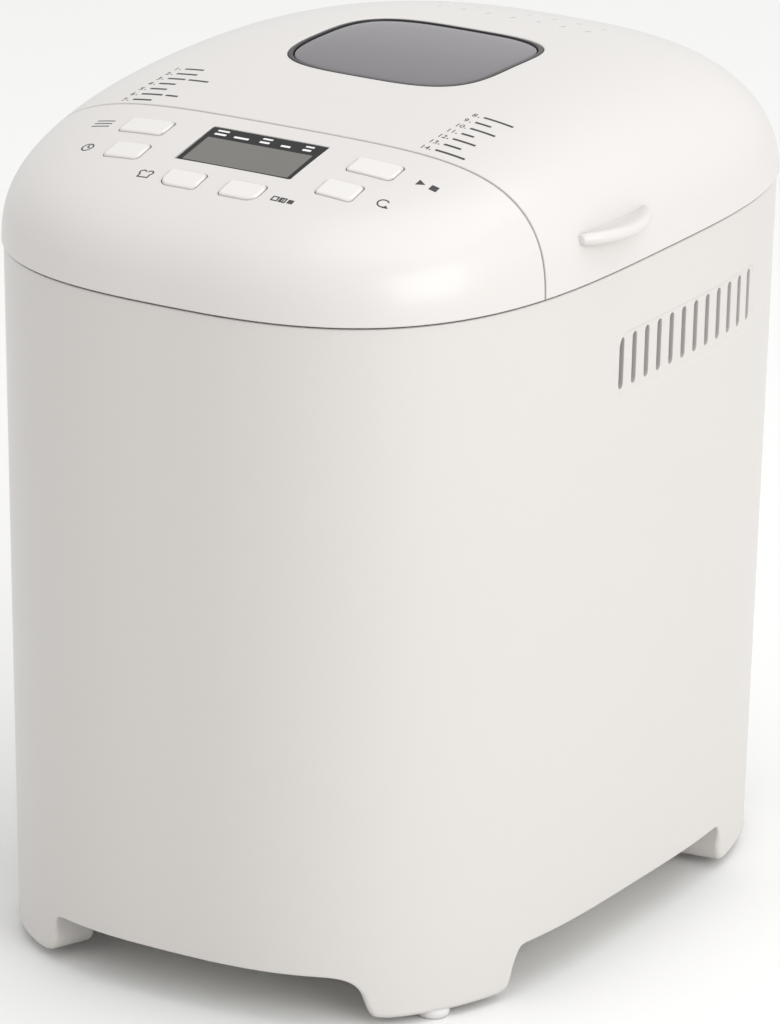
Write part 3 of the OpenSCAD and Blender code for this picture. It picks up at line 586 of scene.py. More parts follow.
# The shell is given a darker colour than the cover and lid, though they are one plastic. This is painted
# shade on the upright walls, which get less light from above than the dome.
SHELL_PLASTIC_WITH_PAINTED_SHADE = plastic("shell_plastic_painted_shade", (0.565, 0.543, 0.522), 0.34, 0.12)
COVER = plastic("cover_plastic", (0.60, 0.578, 0.56), 0.34, 0.12)
# The buttons are given a lighter colour than the cover. This is painted light that stands in for the bright
# highlights on the buttons.
KEYS_WITH_PAINTED_LIGHT = plastic("button_plastic_painted_light", (0.66, 0.64, 0.62), 0.33, 0.15)
PRINT = surface_material("grey_print", (0.03, 0.029, 0.031), 0.55, vary=0.05, grain=700, bump=0.01)
PALE_PRINT = surface_material("white_print", (0.75, 0.75, 0.74), 0.5, vary=0.03, grain=700, bump=0.01)
LCD_BLACK = dark_gloss("lcd_black", (0.006, 0.006, 0.007), 0.3, 0.06, 300, 0.004, 0.16)
LCD_GREY = dark_gloss("lcd_grey", (0.135, 0.132, 0.122), 0.3, 0.10, 500, 0.004, 0.3)
RIM_BLACK = dark_gloss("window_rim", (0.008, 0.008, 0.009), 0.32, 0.06, 500, 0.006, 0.3)
SMOKED = glass_material("smoked_glass", (0.19, 0.172, 0.192), 0.08, 0.5)
CLEAR = glass_material("clear_glass", (0.85, 0.88, 0.88), 0.03, 0.95)
PAD = surface_material("pad_rubber", (0.62, 0.61, 0.60), 0.62, vary=0.04, grain=600, bump=0.05)

# Each plain finish: its slot, colour, roughness, metal, change of colour, grain and relief.
# A drawn finish adds its coat, its shine and how far the grain is stretched.
PLAIN_FINISHES = [
    ("chamber_steel", (0.56, 0.57, 0.57), 0.3, 1, 0.06, 380, 0.03, 0, 0.5, (1, 1, 0.12)),
    ("ribbon_grey", (0.50, 0.50, 0.49), 0.5, 0, 0.06, 300, 0.05, 0, 0.5, (8, 1, 0.2)),
    ("inner_white", (0.66, 0.645, 0.61), 0.5, 0, 0.02, 900, 0.03),
    ("zinc_screws", (0.62, 0.62, 0.61), 0.34, 1, 0.08, 500, 0.03),
    ("circuit_board", (0.035, 0.16, 0.075), 0.42, 0, 0.12, 300, 0.05),
    ("black_parts", (0.025, 0.025, 0.027), 0.45, 0, 0.15, 700, 0.04),
    ("element_sheath", (0.17, 0.15, 0.14), 0.46, 0.7, 0.18, 420, 0.08),
    ("ceramic_white", (0.80, 0.77, 0.70), 0.4, 0, 0.04, 500, 0.04),
    ("sensor_steel", (0.58, 0.58, 0.58), 0.3, 1, 0.05, 500, 0.02),
    ("fuse_cream", (0.66, 0.62, 0.52), 0.5, 0, 0.05, 500, 0.03),
    ("spring_steel", (0.60, 0.60, 0.60), 0.25, 1, 0.05, 420, 0.02),
    ("cast_alloy", (0.48, 0.48, 0.48), 0.48, 1, 0.10, 350, 0.12),
    ("bronze", (0.62, 0.42, 0.20), 0.36, 1, 0.10, 420, 0.05),
    ("motor_steel", (0.40, 0.41, 0.42), 0.38, 1, 0.08, 380, 0.04),
    ("capacitor_cream", (0.70, 0.68, 0.60), 0.42, 0, 0.04, 500, 0.03),
    ("belt_rubber", (0.03, 0.03, 0.03), 0.7, 0, 0.12, 420, 0.10),
    ("grommet_grey", (0.58, 0.57, 0.54), 0.58, 0, 0.04, 500, 0.05),
    ("gasket_rubber", (0.04, 0.04, 0.042), 0.65, 0, 0.10, 600, 0.06),
    ("liner_aluminium", (0.70, 0.71, 0.71), 0.33, 1, 0.05, 360, 0.03),
    ("nonstick_dark", (0.060, 0.058, 0.056), 0.42, 0.25, 0.18, 650, 0.06),
    ("pan_steel", (0.55, 0.55, 0.54), 0.3, 1, 0.06, 420, 0.03),
    ("pulley_black", (0.035, 0.035, 0.037), 0.4, 0, 0.12, 600, 0.04),
]
SLOT_FINISH = {finish[0]: surface_material(*finish) for finish in PLAIN_FINISHES}
SLOT_FINISH.update(
    {
        "shell_white": SHELL_PLASTIC_WITH_PAINTED_SHADE,
        "cover_white": COVER,
        "button_white": KEYS_WITH_PAINTED_LIGHT,
        "pad_rubber": PAD,
        "lcd_glass": LCD_BLACK,
        "lcd_grey": LCD_GREY,
        "window_black": RIM_BLACK,
        "smoked_glass": SMOKED,
        "clear_glass": CLEAR,
    }
)


SOFT_EDGE = 0.3 * MM


def place_piece(obj, body, stands_for=None):
    """Says which body a piece rides on, and the CAD node that it stands for."""
    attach(obj, body)
    if stands_for:
        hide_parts(stands_for)


def dress_nodes():
    """Gives every CAD node the finish of its slot and softens its edges."""
    slot_of = {part["node"]: part["material_slot"] for part in frame["record"]["subparts"]}
    for name, obj in frame["nodes"].items():
        obj.data.materials.clear()
        obj.data.materials.append(SLOT_FINISH[slot_of[name]])
        bevel = obj.modifiers.new("soft_edges", "BEVEL")
        bevel.width = SOFT_EDGE
        bevel.segments = 2
        bevel.limit_method = "ANGLE"
        bevel.angle_limit = radians(40)
        bevel.harden_normals = True


# ---- the lid's shell ----
def constant(value):
    """The same depth at every point."""
    return lambda flat, points: np.full(len(flat), value)


def height_on_rear(x, z):
    """The y at which the dome over this x has this height, on the rear slope."""
    low, high = np.full(len(x), 0.05), np.full(len(x), HALF_D + OVERHANG)
    for _ in range(50):
        middle = (low + high) / 2
        above = dome_z(x, middle) > z
        low = np.where(above, middle, low)
        high = np.where(above, high, middle)
    return low


RIM_EDGE = 0.6 * MM
DOME_FLOOR = SEAM_Z + SEAM_GAP


def lid_surface(flat):
    """The dome, kept clear of the seam."""
    p = dome_surface(flat)
    p[:, 2] = np.maximum(p[:, 2], DOME_FLOOR + RIM_EDGE)
    return p


def rim_part(first, last, step):
    """The rim of the dome between two directions, counter-clockwise, on the flat sheet."""
    angle = np.linspace(first, last, 900)
    r = rim_distance(angle)
    return even_line(np.column_stack([r * np.cos(angle), r * np.sin(angle)]), step)


def split_line(y):
    """The straight joint across the dome at this y, from right to left on the flat sheet."""
    half = (HALF_W + OVERHANG) * (1 - (abs(y) / (HALF_D + OVERHANG)) ** PLAN_NY) ** (1 / PLAN_NX)
    x = half * np.sin(np.linspace(math.pi / 2, -math.pi / 2, 500))
    line = flat_of_plan(np.column_stack([x, np.full(500, y)]))
    return even_line(line, 2.2 * MM), half


def lid_border():
    """The lid's outline on the flat sheet, with the notch for the hinge at the rear."""
    y = SPLIT_Y + SEAM_GAP / 2 + RIM_EDGE
    joint, half = split_line(y)
    start = math.atan2(y, half)
    notch = HINGE_HALF + RIM_EDGE
    heights = np.linspace(DOME_FLOOR + RIM_EDGE, HINGE_CUT_Z + RIM_EDGE, 6)
    rise = flat_of_plan(np.column_stack([np.full(6, notch), height_on_rear(np.full(6, notch), heights)]))
    x = np.linspace(notch, -notch, 46)
    across = flat_of_plan(np.column_stack([x, height_on_rear(x, np.full(46, heights[-1]))]))
    turn = math.atan2(rise[0, 1], rise[0, 0])
    right_rim = rim_part(start, turn, 2.4 * MM)
    left_rim = rim_part(math.pi - turn, math.pi - start, 2.4 * MM)
    fall = rise[::-1] * [-1, 1]
    return np.vstack([right_rim[:-1], rise[1:], across[1:-1], fall[:-1], left_rim[:-1], joint[::-1][:-1]])


WINDOW_POINTS = 150


def window_outline(grow):
    """The window's outline, always with the same number of points."""
    loop = oval(WINDOW_X + grow, WINDOW_Y + grow, WINDOW_POWER, 600)
    around = np.linalg.norm(np.diff(loop, axis=0, append=loop[:1]), axis=1).sum()
    return even_loop(loop + [0, WINDOW_MID], around / WINDOW_POINTS)


def steam_places():
    return [(i * STEAM_PITCH, y) for y in STEAM_ROWS for i in range(-3, 4)]


def make_lid():
    """The hinged dome with its window opening and steam holes."""
    window = flat_of_plan(window_outline(0.15 * MM + RIM_EDGE))
    edge = 0.7 * MM
    vents = [flat_of_plan(oval(STEAM_R + edge, STEAM_R + edge, 2, 28) + place) for place in steam_places()]
    border = lid_border()
    guides = [flat_of_plan(window_outline(grow * MM)) for grow in (2.2, 4.5)]
    filling = hex_points((-0.13, -0.10), (0.13, 0.18), 2.6 * MM, 2.3 * MM)
    flat, triangles = triangulate(border, [window, *vents], guides, filling, 1.0 * MM)
    vent_loops = np.vstack(vents)

    def rounding(flat, points):
        r = np.full(len(flat), RIM_EDGE)
        r[distance_to(flat, vent_loops) < 0.01 * MM] = edge
        return r

    depth = constant(WALL)
    lid = sheet_solid("lid_dome", lid_surface, dome_normals, flat, triangles, depth, rounding, COVER)
    place_piece(lid, "lid", "lid_shell")


def joint_wall(name, y_near, y_far, body):
    """The upright wall that closes a dome piece along the joint across the top."""
    n = 90
    half = split_line(max(y_near, y_far, key=abs))[1] - 3.2 * MM
    x = half * np.sin(np.linspace(-math.pi / 2, math.pi / 2, n))
    verts, faces = [], []
    for y in (y_near, y_far):
        top = dome_z(x, np.full(n, y)) - 1.0 * MM
        for z in (np.full(n, DOME_FLOOR + 0.4 * MM), np.maximum(top, DOME_FLOOR + 1.0 * MM)):
            verts += [(x[i], y, z[i]) for i in range(n)]
    for i in range(n - 1):
        a, b, c, d = i, n + i, 2 * n + i, 3 * n + i
        faces += [(a, a + 1, b + 1, b), (d, d + 1, c + 1, c), (b, b + 1, d + 1, d), (c, c + 1, a + 1, a)]
    faces += [(0, n, 3 * n, 2 * n), (n - 1, 3 * n - 1, 4 * n - 1, 2 * n - 1)]
    wall = new_object(name, verts, faces, COVER, smooth=False)
    place_piece(wall, body)


# ---- side grips ----
def make_grip(name, side):
    """A half-lens shelf that stands out of the lid's side, with a full rounded edge and a dished top."""
    rows, columns = 61, 36
    verts, faces = [], []
    half_t = 2.5 * MM
    inner = 112 * MM
    for i in range(rows):
        u = -1 + 2 * i / (rows - 1)
        y = GRIP_HALF * 0.999 * math.sin(u * math.pi / 2)
        outer = GRIP_MID_X + math.sqrt(GRIP_R**2 - y**2)
        share = math.cos(u * math.pi / 2)
        thick = half_t * (0.55 + 0.45 * min(1, share * 2.2))
        for j in range(columns):
            v = j / (columns - 1)
            if v < 0.35:
                w = v / 0.35
                x = inner + (outer - thick - inner) * w
                dish = 1.1 * MM * math.sin(math.pi * min(1, w)) ** 2 * min(1, share * 1.5)
                z = GRIP_Z + thick - dish
            elif v < 0.65:
                a = math.pi * (v - 0.35) / 0.30
                x = outer - thick + thick * math.sin(a)
                z = GRIP_Z + thick * math.cos(a)
            else:
                w = (v - 0.65) / 0.35
                x = outer - thick + (inner - outer + thick) * w
                z = GRIP_Z - thick
            verts.append((side * x, GRIP_Y + y, z))
    for i in range(rows - 1):
        for j in range(columns - 1):
            a = i * columns + j
            face = (a, a + 1, a + columns + 1, a + columns)
            faces.append(face if side < 0 else face[::-1])
    for start in (0, (rows - 1) * columns):
        ring = tuple(range(start, start + columns))
        flip = (start == 0) == (side > 0)
        faces.append(ring if flip else ring[::-1])
    place_piece(new_object(name, verts, faces, COVER), "lid")


# ---- front cover ----
def button_outline(key, grow):
    """A button's outline on the panel plane."""
    x, y, w, d, r_left, r_right = (value * MM for value in BUTTONS[key])
    radii = [max(0.4 * MM, r + grow) for r in (r_left, r_right, 2 * MM, 2 * MM)]
    loop = rounded_rect(w + 2 * grow, d + 2 * grow, radii)
    return even_loop(loop + [x, panel_v(y)], 0.8 * MM)


def lcd_outline(grow, radius=0.5 * MM):
    """The display's outline on the panel plane."""
    loop = rounded_rect(LCD_SIZE[0] + 2 * grow, LCD_SIZE[1] + 2 * grow, [radius] * 4, 4)
    return even_loop(loop + [0, panel_v(LCD_Y)], 0.9 * MM)


HOLE_EDGE = 0.35 * MM


def cover_border():
    """The front cover's outline on the flat sheet."""
    y = SPLIT_Y - SEAM_GAP / 2 - RIM_EDGE
    joint, half = split_line(y)
    turn = math.atan2(-y, half)
    rim = rim_part(math.pi + turn, 2 * math.pi - turn, 2.4 * MM)
    return np.vstack([rim[:-1], joint[:-1]])


def make_cover():
    """The fixed front of the dome with its openings for the buttons and the display."""
    holes = [flat_of_plan(plan_of_panel(button_outline(key, HOLE_EDGE))) for key in BUTTONS]
    holes.append(flat_of_plan(plan_of_panel(lcd_outline(0.2 * MM + HOLE_EDGE, 0.8 * MM))))
    filling = hex_points((-0.13, -0.18), (0.13, -0.05), 2.2 * MM, 1.9 * MM)
    flat, triangles = triangulate(cover_border(), holes, [], filling, 0.8 * MM)
    hole_points = np.vstack(holes)

    def rounding(flat, points):
        r = np.full(len(flat), RIM_EDGE)
        r[distance_to(flat, hole_points) < 0.01 * MM] = HOLE_EDGE
        return r

    depth = constant(WALL)
    cover = sheet_solid("front_dome", lid_surface, dome_normals, flat, triangles, depth, rounding, COVER)
    place_piece(cover, "housing", "front_cover")


def make_button(key):
    """A cap whose face follows the dome, with softly rounded edges."""
    x, y = BUTTONS[key][0] * MM, BUTTONS[key][1] * MM
    centre = np.array([x, panel_v(y)])
    c, s = math.cos(PANEL_TILT), math.sin(PANEL_TILT)
    out = np.array([0, -s, c])
    outline = button_outline(key, -BUTTON_GAP) - centre
    size = np.abs(outline).max(axis=0)
    count = len(outline)
    edge = 0.9 * MM
    bulge = 0.25 * MM
    rise = BUTTON_RISE - bulge
    # Each row down the side and round the edge: how far in, how high, and the lean of its shading.
    rows = [(0, -4.5 * MM, 90), (0, rise - edge, 90)]
    for angle in (22, 45, 67, 90):
        inset = edge * (1 - math.cos(radians(angle)))
        rows.append((inset, rise - edge * (1 - math.sin(radians(angle))), 90 - angle))
    verts, shading = [], []
    for inset, down, lean in rows:
        loop = outline * (1 - inset / size)
        place = on_dome(plan_of_panel(loop + centre))
        sideways = signed_power(loop / size**2, 3)
        sideways /= np.linalg.norm(sideways, axis=1)[:, None]
        flat_out = np.column_stack([sideways[:, 0], sideways[:, 1] * c, sideways[:, 1] * s])
        up = plan_normals(place[:, :2])
        a = radians(lean)
        verts.append(place + out * down)
        shading.append(up * math.cos(a) + flat_out * math.sin(a))
    for share in (0.8, 0.55, 0.3, 0.0):
        loop = outline * (share * 0.9) if share else outline[:1] * 0
        place = on_dome(plan_of_panel(loop + centre))
        verts.append(place + out * (rise + bulge * (1 - share**2)))
        shading.append(plan_normals(place[:, :2]))
    bands = len(verts) - 2
    faces = band_faces(count, bands)
    start = bands * count
    top = start + count
    faces += [(start + i, start + (i + 1) % count, top) for i in range(count)]
    faces.append(tuple(range(count))[::-1])
    # The caps take the button plastic, which is lightened as painted light.
    cap = new_object(key + "_cap", np.vstack(verts), faces, KEYS_WITH_PAINTED_LIGHT, np.vstack(shading))
    place_piece(cap, key + "_key", key + "_button")


# ---- window ----
# The frame's section from its outer foot over the rim to the inner ledge: growth and height, in mm.
FRAME_SECTION = [
    (0.0, -16.5), (0.0, -0.75), (-0.12, -0.45), (-0.4, -0.3), (-1.35, -0.3),
    (-1.65, -0.45), (-1.8, -0.8), (-1.9, -5.2), (-4.4, -5.2), (-4.4, -16.5),
]
PANE_DEPTH = -0.62
# The pane's rings from its edge to the middle: share of its size and place over the dome, in mm.
PANE_RINGS = [(1.0, -0.95), (0.992, -0.72), (0.975, -0.66)]
PANE_RINGS += [(share, PANE_DEPTH) for share in (0.9, 0.75, 0.5, 0.25)]
PANE_THICK = 3.0 * MM


def make_window_frame():
    """A thin rounded rim with an inner ledge."""
    middle_z = height_at(0.0, WINDOW_MID)
    loops = []
    for grow, down in FRAME_SECTION:
        loop = window_outline(grow * MM)
        follows_dome = down > -10
        z = dome_z(loop[:, 0], loop[:, 1]) if follows_dome else np.full(len(loop), middle_z)
        loops.append(np.column_stack([loop, z + down * MM]))
    loops.append(loops[0])
    rim = new_object("window_rim", np.vstack(loops), band_faces(len(loops[0]), len(loops) - 1), RIM_BLACK)
    place_piece(rim, "lid", "window_frame")


def make_pane():
    """The smoked pane, which follows the dome."""
    outline = window_outline(-2.2 * MM)
    middle = np.array([0, WINDOW_MID])
    count, bands = len(outline), len(PANE_RINGS) - 1
    upper = []
    for share, down in PANE_RINGS:
        loop = (outline - middle) * share + middle
        upper.append(np.column_stack([loop, dome_z(loop[:, 0], loop[:, 1]) + down * MM]))
    upper.append(np.array([[0, WINDOW_MID, height_at(0.0, WINDOW_MID) + PANE_DEPTH * MM]]))
    upper = np.vstack(upper)
    half = len(upper)
    top = band_faces(count, bands)
    last = bands * count
    top += [(last + i, last + (i + 1) % count, half - 1) for i in range(count)]
    faces = top + [tuple(i + half for i in face[::-1]) for face in top]
    for i in range(count):
        j = (i + 1) % count
        faces.append((j, i, half + i, half + j))
    pane = new_object("window_pane", np.vstack([upper, upper - [0, 0, PANE_THICK]]), faces, SMOKED)
    place_piece(pane, "lid", "lid_window")


# ---- display ----
def on_panel(points, up):
    """Points drawn on the tilted panel plane, raised along its normal."""
    c, s = math.cos(PANEL_TILT), math.sin(PANEL_TILT)
    base = height_at(0.0, PANEL_Y)
    points = np.asarray(points, float)
    return np.column_stack(
        [points[:, 0], PANEL_Y + points[:, 1] * c - up * s, base + points[:, 1] * s + up * c]
    )


def panel_plate(name, loop, top, depth, edge, material, slot=None, stands_for=None):
    """A flat plate on the tilted panel with a rounded upper edge."""
    middle = (loop.max(axis=0) + loop.min(axis=0)) / 2
    half = (loop.max(axis=0) - loop.min(axis=0)) / 2
    loops = [on_panel(loop, top - depth), on_panel(loop, top - edge)]
    for angle in (30, 60, 90):
        inset = edge * (1 - math.cos(radians(angle)))
        small = (loop - middle) * (1 - inset / half) + middle
        loops.append(on_panel(small, top - edge * (1 - math.sin(radians(angle)))))
    count = len(loop)
    faces = band_faces(count, len(loops) - 1)
    faces.append(tuple(range((len(loops) - 1) * count, len(loops) * count)))
    faces.append(tuple(range(count))[::-1])
    plate = new_object(name, np.vstack(loops), faces, material, smooth=False)
    for polygon in plate.data.polygons[:-2]:
        polygon.use_smooth = True
    if slot:
        place_piece(plate, "housing", stands_for)
    else:
        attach(plate, "housing")


LENS_TOP = -0.95 * MM


def box_loop(x, v, width, height, r=0.3 * MM):
    return rounded_rect(width, height, [r] * 4, 3) + [x, v]


# Each plain mark on the display: middle across, width, and whether there is a second one above it.
DISPLAY_MARKS = [(-20, 5.2, True), (-10.5, 6.6, False), (0, 4.4, True), (9.5, 4.2, False), (19, 3.8, True)]


def make_display():
    lens = lcd_outline(0.0)
    panel_plate("display_lens", lens, LENS_TOP, 2.0 * MM, 0.3 * MM, LCD_BLACK, "lcd_glass", "lcd_lens")
    mid = panel_v(LCD_Y)
    screen = box_loop(0.0, mid - 3.2 * MM, 47.2 * MM, 18.8 * MM, 0.5 * MM)
    film = 0.02 * MM
    panel_plate("display_screen", screen, LENS_TOP + 2 * film, 0.3 * MM, film, LCD_GREY, "lcd_grey")
    marks = []
    for x, width, doubled in DISPLAY_MARKS:
        marks.append(box_loop(x * MM, mid + 9.25 * MM, width * MM, 1.3 * MM))
        if doubled:
            marks.append(box_loop(x * MM, mid + 11.95 * MM, width * MM, 1.1 * MM))
    for i, loop in enumerate(marks):
        panel_plate("display_mark_%d" % i, loop, LENS_TOP + 0.05 * MM, 0.2 * MM, film, PALE_PRINT)


# ---- printed marks, draped on the dome ----
BAR_PIECE = 1.6


def bars(strokes):
    """Thin bars given as (x0, y0, x1, y1, width), cut in short outlines that can follow the dome."""
    loops = []
    for x0, y0, x1, y1, width in strokes:
        start, end = np.array([x0, y0]), np.array([x1, y1])
        length = np.linalg.norm(end - start)
        along = (end - start) / length
        side = np.array([-along[1], along[0]]) * width / 2
        pieces = max(1, math.ceil(length / BAR_PIECE))
        stops = [start + (end - start) * k / pieces for k in range(pieces + 1)]
        loops += [np.array([a - side, b - side, b + side, a + side]) for a, b in zip(stops, stops[1:])]
    return loops


def arc_bar(x, y, r, start, end, width, count=14):
    """A curved bar as one outline."""
    angles = np.radians(np.linspace(start, end, count))
    round_it = np.column_stack([np.cos(angles), np.sin(angles)])
    outer, inner = round_it * (r + width / 2), round_it[::-1] * (r - width / 2)
    return [np.vstack([outer, inner]) + [x, y]]


FILM_LIFT = 0.05 * MM
FILM_FOOT = -0.1 * MM


def drape(name, loops, place, body):
    """Prints flat outlines, in millimetres round a place on the dome, as a thin raised film."""
    verts, faces, start = [], [], 0
    for loop in loops:
        plan = (np.asarray(loop, float) + place) * MM
        n = len(plan)
        verts += [on_dome(plan, FILM_LIFT), on_dome(plan, FILM_FOOT)]
        area = np.sum(loop[:, 0] * np.roll(loop[:, 1], -1) - np.roll(loop[:, 0], -1) * loop[:, 1])
        order = list(range(n) if area > 0 else range(n - 1, -1, -1))
        faces.append(tuple(start + i for i in order))
        for a, b in zip(order, order[1:] + order[:1]):
            faces.append((start + b, start + a, start + n + a, start + n + b))
        start += 2 * n
    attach(new_object(name, np.vstack(verts), faces, PRINT, smooth=False), body)


DIGIT_SHARE = 0.72


def digit_loops(text, height):
    """The outlines of a number, in millimetres from its left end."""
    curve = bpy.data.curves.new("number", "FONT")
    curve.body = text
    curve.size = 1.0
    curve.resolution_u = 3
    holder = bpy.data.objects.new("number", curve)
    bpy.context.scene.collection.objects.link(holder)
    bpy.context.view_layer.update()
    mesh = bpy.data.meshes.new_from_object(holder.evaluated_get(bpy.context.evaluated_depsgraph_get()))
    points = np.array([v.co[:2] for v in mesh.vertices]) * height / DIGIT_SHARE
    loops = [points[list(polygon.vertices)] for polygon in mesh.polygons]
    bpy.data.objects.remove(holder)
    return loops


# The bars after each number, one list of lengths for each line.
LEFT_BARS = [[8.5], [9.5], [8, 9], [7.5], [7.5], [9.5, 5.5], [8.5]]
RIGHT_BARS = [[13], [7], [11], [5.5], [10], [7.5], [13]]
LINE = 0.62


def make_programme_list(name, number, place, step, lines):
    """A column of numbered lines; each line's name is a plain bar."""
    for i, lengths in enumerate(lines, number):
        loops = digit_loops(str(i), 2.9)
        start = 4.2 if i > 9 else 2.6
        loops += bars([(start + 0.2, 0.35, start + 0.8, 0.35, 0.6)])
        at = start + 2.4
        for length in lengths:
            loops += bars([(at, 1.35, at + length, 1.35, 1.25)])
            at += length + 1.6
        spot = (place[0] + step[0] * (i - number), place[1] + step[1] * (i - number))
        drape("%s_%d" % (name, i), loops, spot, "lid")


def make_marks():
    """The numbered lists, and a plain sign beside each button."""
    make_programme_list("left_list", 1, (-74.2, -49.0), (-0.55, -5.35), LEFT_BARS)
    make_programme_list("right_list", 8, (59.8, -45.6), (-0.45, -5.65), RIGHT_BARS)

    menu = bars([(-4, y, 4, y, LINE) for y in (-2.2, 0, 2.2)])
    clock = arc_bar(0, 0, 2.3, 0, 360, LINE, 28) + bars([(0, 0, 0, 1.6, LINE), (0, 0, 1.2, -0.5, LINE)])
    loaf = arc_bar(-1.6, 1.0, 1.3, 20, 250, LINE) + arc_bar(1.6, 1.0, 1.3, -70, 160, LINE)
    loaf += bars([(x, -0.2, x, -2.2, LINE) for x in (-2.2, 2.2)] + [(-2.5, -2.2, 2.5, -2.2, LINE)])
    shades = [np.array([[1.6, -1.2], [4.0, -1.2], [4.0, 1.2], [1.6, 1.2]])]
    for y in (-1.2, 1.2):
        shades += bars([(x, y, x + 2.4, y, LINE) for x in (-5.2, -1.8)])
    shades += bars([(x, -1.5, x, 1.5, LINE) for x in (-5.2, -2.8, -1.8, 0.6)])
    shades += bars([(x, -1.2, x, 1.2, 0.5) for x in (-1.2, -0.4)])
    cycle = arc_bar(0, 0, 2.2, 40, 320, LINE, 24) + [np.array([[0.9, -2.6], [3.1, -1.9], [1.6, -0.5]])]
    start = [np.array([[-4.4, -1.9], [-1.0, 0.0], [-4.4, 1.9]])]
    start.append(np.array([[1.2, -1.6], [4.4, -1.6], [4.4, 1.6], [1.2, 1.6]]))
    signs = {
        "menu": (menu, (-71.6, -101.7)),
        "time": (clock, (-66.2, -120.7)),
        "loaf": (loaf, (-30.0, -135.6)),
        "shade": (shades, (32.5, -135.8)),
        "cycle": (cycle, (67.0, -121.0)),
        "start": (start, (75.0, -102.2)),
    }
    for key, (loops, place) in signs.items():
        drape("mark_" + key, loops, place, "housing")


# ---- housing ----
LEG_DEPTH = 20 * MM
WALL_EDGE = 0.6 * MM


def foot_edge(z):
    """Edges are a little rounded at the skirt and much rounder at the feet."""
    share = np.clip((19 * MM - z) / (7 * MM), 0, 1)
    return (0.9 + 1.5 * share) * MM


# The flank of each leg from the skirt down to the foot: place along the side and height, in mm.
LEFT_FLANK = [
    (-53, 21), (-55.6, 20.3), (-57, 17.5), (-57.6, 13.5), (-58.2, 9), (-60.6, 5), (-65, 3.3), (-70, 3),
]
RIGHT_FLANK = [
    (62, 21), (68.5, 20.6), (73.2, 19.2), (76.2, 16.2), (78, 12), (79.6, 7), (81.4, 4), (85.5, 3),
]
FRONT_FLANK = [
    (-78, 21), (-82.2, 20.6), (-84.2, 18.8), (-85.8, 14.5), (-87.2, 9.5), (-89.2, 5), (-92, 3.4), (-96, 3),
]
REAR_FLANK = [
    (66, 21), (70.2, 20.6), (72.2, 18.8), (73.4, 14.5), (74.2, 9.5), (75.8, 5), (78.6, 3.4), (83, 3),
]


def lower_edge():
    """The lower edge of the housing from the back round to the back again, over distance and height."""
    skirt = SKIRT_Z / MM
    course = [
        ("rear_left", LEFT_FLANK, False),
        ("left", REAR_FLANK, True),
        ("left", FRONT_FLANK, False),
        ("front", LEFT_FLANK, True),
        ("front", RIGHT_FLANK, False),
        ("right", FRONT_FLANK, True),
        ("right", REAR_FLANK, False),
        ("rear_right", RIGHT_FLANK, True),
    ]
    points = [[0.0, skirt * MM]]
    for side, flank, upward in course:
        part = smooth_line(np.array(flank) * MM, 1.2 * MM)
        line = np.column_stack([along_of(side, part[:, 0], part[:, 1]), part[:, 1]])
        points += (line[::-1] if upward else line).tolist()
    points.append([LENGTH, skirt * MM])
    return even_line(points, 1.6 * MM)


def inward(line):
    """The line moved into the material by the local roundness, with the material on its left."""
    tangent = np.gradient(line, axis=0)
    tangent /= np.linalg.norm(tangent, axis=1)[:, None]
    normal = np.column_stack([-tangent[:, 1], tangent[:, 0]])
    moved = line + normal * foot_edge(line[:, 1])[:, None]
    moved[0, 0], moved[-1, 0] = 0.0, LENGTH
    return moved


def housing_border():
    """The housing's outline on the flat sheet, cut open down the rear, with the notch for the hinge."""
    low = inward(lower_edge())
    notch_left = float(along_of("rear_left", -HINGE_HALF - WALL_EDGE, SEAM_Z))
    notch_right = float(along_of("rear_right", HINGE_HALF + WALL_EDGE, SEAM_Z))
    top, cut = SEAM_Z - WALL_EDGE, BODY_CUT_Z - WALL_EDGE
    seam_heights = np.linspace(low[0, 1], cut, 60)
    right_side = np.column_stack([np.full(60, LENGTH), seam_heights])
    left_side = np.column_stack([np.zeros(60), seam_heights[::-1]])
    notch = [[notch_right, cut], [notch_right, top], [notch_left, top], [notch_left, cut]]
    upper = [[LENGTH, cut], *notch, [0, cut]]
    rows = [even_line(pair, 3 * MM)[:-1] for pair in zip(upper, upper[1:])]
    return np.vstack([low[:-1], right_side[:-1], *rows, left_side[:-1]])


def on_side(side, shape):
    """An outline drawn on one side, over distance along the wall and height."""
    return np.column_stack([along_of(side, shape[:, 0], shape[:, 1]), shape[:, 1]])


SLOT_EDGE = 0.4 * MM
# The square hole for the cord's gland: x, height, width.
GLAND = (-10 * MM, 40 * MM, 14.4 * MM)


def slot_loops(side):
    width, height = SLOT_W + 2 * SLOT_EDGE, SLOT_HIGH - SLOT_LOW + 2 * SLOT_EDGE
    corner = SLOT_W / 2 + SLOT_EDGE * 0.999
    loops = []
    for i in range(SLOT_COUNT):
        place = [SLOT_FIRST + i * SLOT_PITCH, (SLOT_LOW + SLOT_HIGH) / 2]
        shape = rounded_rect(width, height, [corner] * 4, 6) + place
        loops.append(on_side(side, even_loop(shape, 1.1 * MM)))
    return loops


def recess_guides(side):
    mid_y, half_y, mid_z, half_z, corner = RECESS
    guides = []
    for grow in (0.15 * MM, -0.35 * MM, -0.8 * MM, -1.25 * MM):
        shape = rounded_rect(2 * (half_y + grow), 2 * (half_z + grow), [corner + grow] * 4, 8)
        guides.append(on_side(side, even_loop(shape + [mid_y, mid_z], 2.6 * MM)))
    return guides


